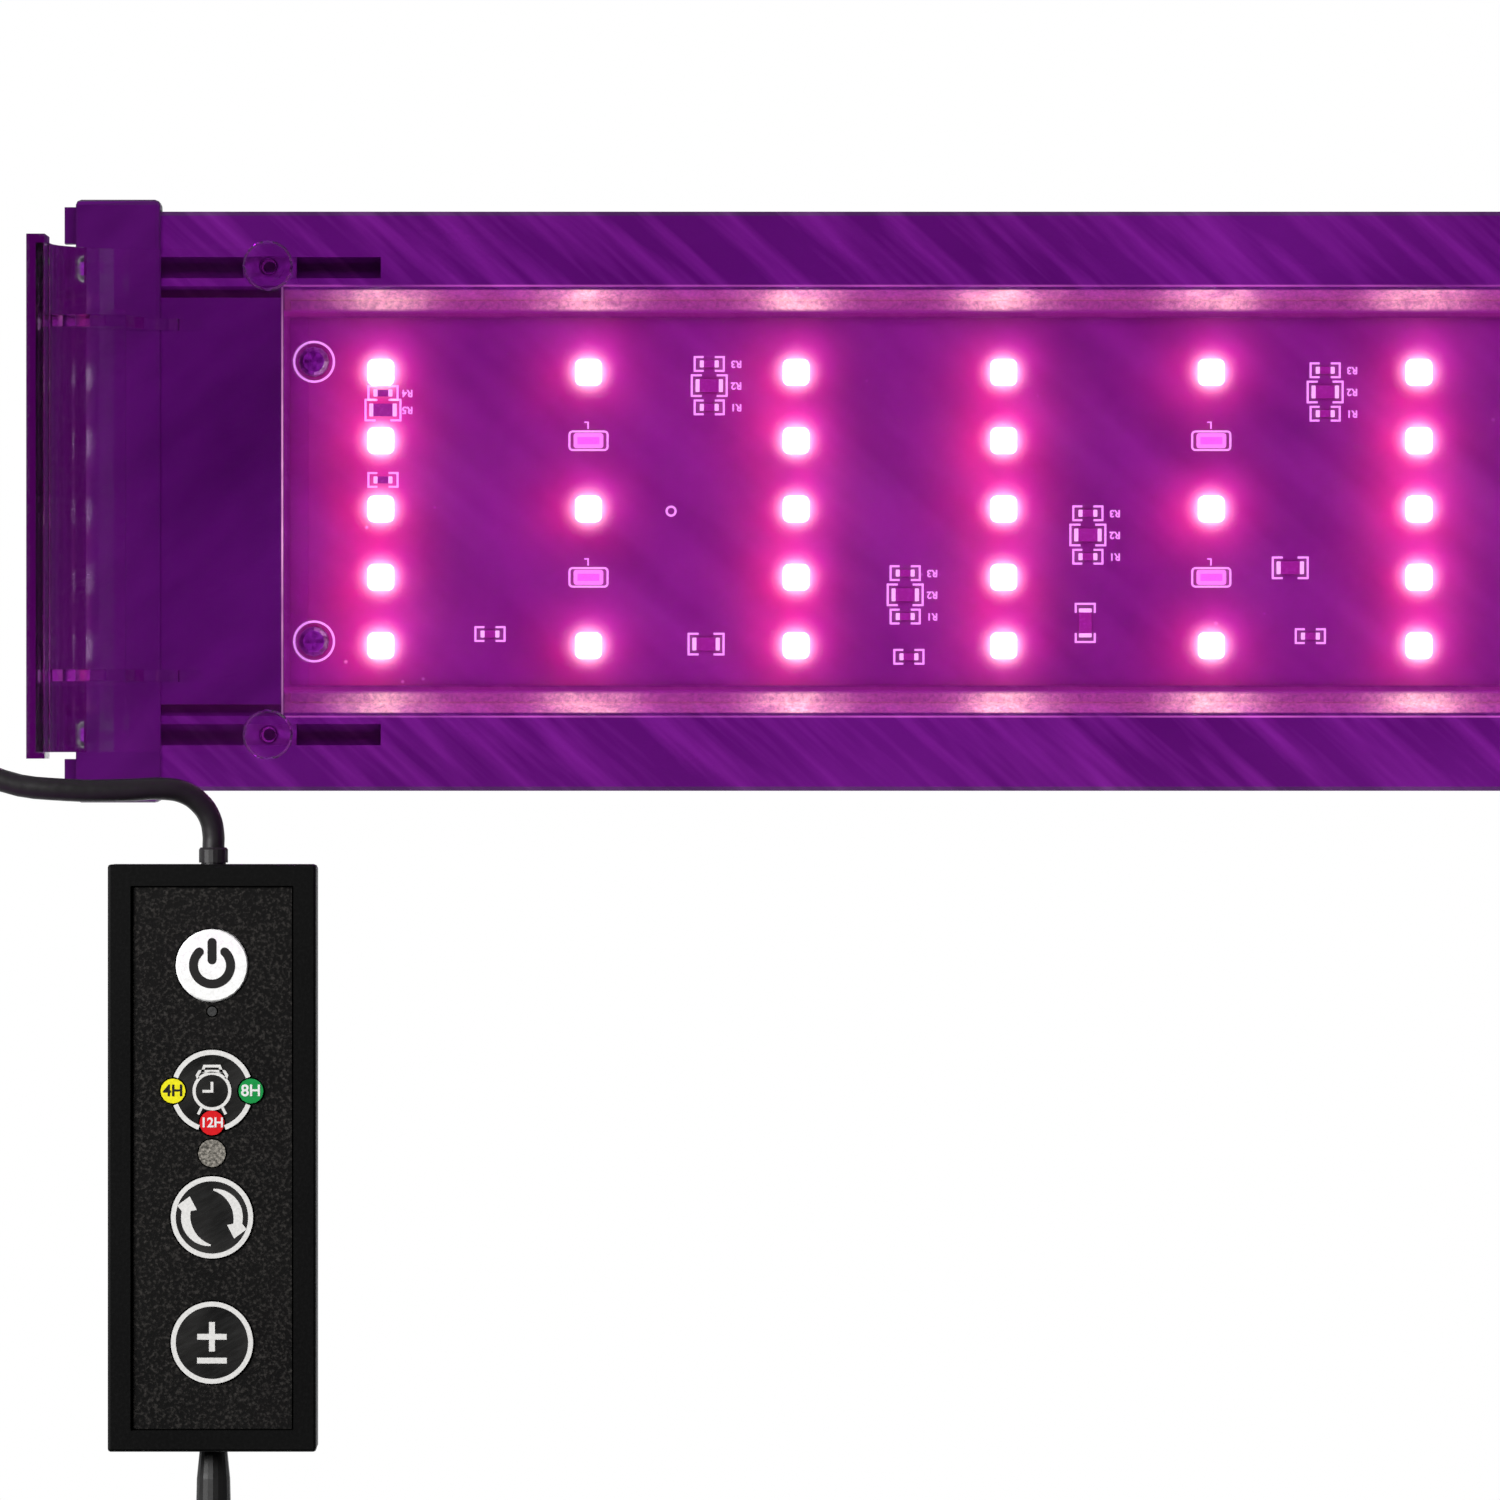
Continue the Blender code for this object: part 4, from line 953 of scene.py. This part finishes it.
def floor():
    """A pale floor that is seen from above only, so the camera below it sees the lamp. Light that has
    bounced off the object finds a dark floor there, and under the lamp a violet one, a painted pool of the
    LEDs' light."""
    mesh = bmesh.new()
    bmesh.ops.create_grid(mesh, x_segments=1, y_segments=1, size=40.0)
    data = bpy.data.meshes.new("floor")
    mesh.to_mesh(data)
    mesh.free()
    made = bpy.data.objects.new("floor", data)
    made.location.z = FLOOR_Z
    SCENE.collection.objects.link(made)
    finish = Finish("floor", rough=0.9, specular=0.1)
    rays = finish.node("LightPath").outputs
    bounced = finish.math("MINIMUM", finish.math("ADD", rays["Diffuse Depth"], rays["Glossy Depth"]), 1.0)
    across = finish.math("ABSOLUTE", finish.node("SeparateXYZ", _0=finish.place()).outputs[1])
    # Under the lamp, rays that have bounced see a painted pool of violet light on the floor.
    below = finish.mix(finish.span(across, *VIOLET_POOL_REACH), rgb(0.3, 0.012, 0.36), rgb(0.06, 0.06, 0.06))
    finish.feed(color=finish.mix(bounced, rgb(0.8, 0.8, 0.8), below))
    clear = finish.node("BsdfTransparent").outputs[0]
    underneath = finish.node("NewGeometry").outputs["Backfacing"]
    finish.shows(finish.either(underneath, finish.shader.outputs[0], clear))
    data.materials.append(finish.material)


def world():
    """White where the camera looks past the floor, a softer fill for everything else, and a dark violet
    overhead that the clear plastic shows, as it does over a dark room."""
    made = bpy.data.worlds.new("studio")
    made.use_nodes = True
    sky = Nodes(made.node_tree)
    white, fill, violet = (
        sky.node("Background", Color=color, Strength=strength).outputs[0]
        for color, strength in (
            (rgb(1.0, 1.0, 1.0), 1.0),
            (rgb(0.95, 0.97, 1.0), 0.3),
            (rgb(0.06, 0.0, 0.08), 1.0),
        )
    )
    rays = sky.node("LightPath").outputs
    up = sky.node("SeparateXYZ", _0=sky.node("TexCoord").outputs["Generated"]).outputs[2]
    through = sky.product(sky.span(up, 0.2, 0.6), rays["Is Transmission Ray"])
    shown = sky.either(rays["Is Camera Ray"], sky.either(through, fill, violet), white)
    sky.put(sky.tree.nodes["World Output"].inputs["Surface"], shown)
    SCENE.world = made


def group(name, objects):
    made = bpy.data.collections.new(name)
    for one in objects:
        made.objects.link(one)
    return made


def light(name, kind, place, target, power, color=(1.0, 1.0, 1.0), size=0.5, only=None):
    """A soft lamp aimed at a point. A sun's size is its angle in degrees, and an area lamp's its two sides;
    only is the group that it lights and that blocks it."""
    data = bpy.data.lights.new(name, kind)
    data.energy = power
    data.color = color
    if kind == "AREA":
        data.shape = "RECTANGLE"
        data.size, data.size_y = size
    else:
        data.angle = math.radians(size)
    made = bpy.data.objects.new(name, data)
    made.location = place
    made.rotation_euler = (Vector(target) - Vector(place)).to_track_quat("-Z", "Y").to_euler()
    made.visible_camera = False
    made.visible_transmission = False
    SCENE.collection.objects.link(made)
    if only:
        made.light_linking.receiver_collection = only
        made.light_linking.blocker_collection = only


CONTROLLER_WORDS = (
    "controller", "button", "switch", "label", "indicator", "lens", "sensor", "relief", "lead", "symbol",
    "hours", "plug", "coil_tie",
)  # fmt: skip


def is_controller(name):
    """Whether a piece belongs to the controller or its leads, and not to the lamp."""
    named = any(word in name for word in CONTROLLER_WORDS)
    return named and name not in ("board_lead", "dim_led_lenses")


def is_clear(name):
    return "leg" in name or "knob" in name


def lighting():
    shown = [one for one in SCENE.objects if one.type in ("MESH", "CURVE") and one.name != "floor"]
    small = group("controller_pieces", [one for one in shown if is_controller(one.name)])
    others = [one for one in shown if not is_controller(one.name)]
    lamp = group("lamp_pieces", [one for one in others if not is_clear(one.name)])
    light("overhead", "SUN", (0.0, 0.0, 3.0), (0.0, 0.0, 0.0), OVERHEAD_SUN, size=110.0)
    light("key", "SUN", (-1.4, -1.8, 2.6), (0.0, 0.0, 0.0), KEY_SUN, size=35.0)
    for side, end in ((-1, "front"), (1, "rear")):
        place = (0.15, side * 0.85, -0.95)
        name = f"tank_glow_{end}"
        light(name, "AREA", place, (0.15, 0.0, 0.06), TANK_GLOW, VIOLET, (1.2, 0.6), lamp)
    place = (1.1, 0.3, -0.9)
    light("face_fill", "AREA", place, (0.245, -0.122, 0.0), FACE_FILL, size=(0.6, 0.6), only=small)


finish_nodes()
board_face()
board_packages()
board_parts()
lit_edges()
power_symbol()
timer_symbol()
mode_symbol()
level_symbol()
hour_marks()
leads()
camera()
floor()
world()
lighting()
SCENE.view_settings.view_transform = "Standard"
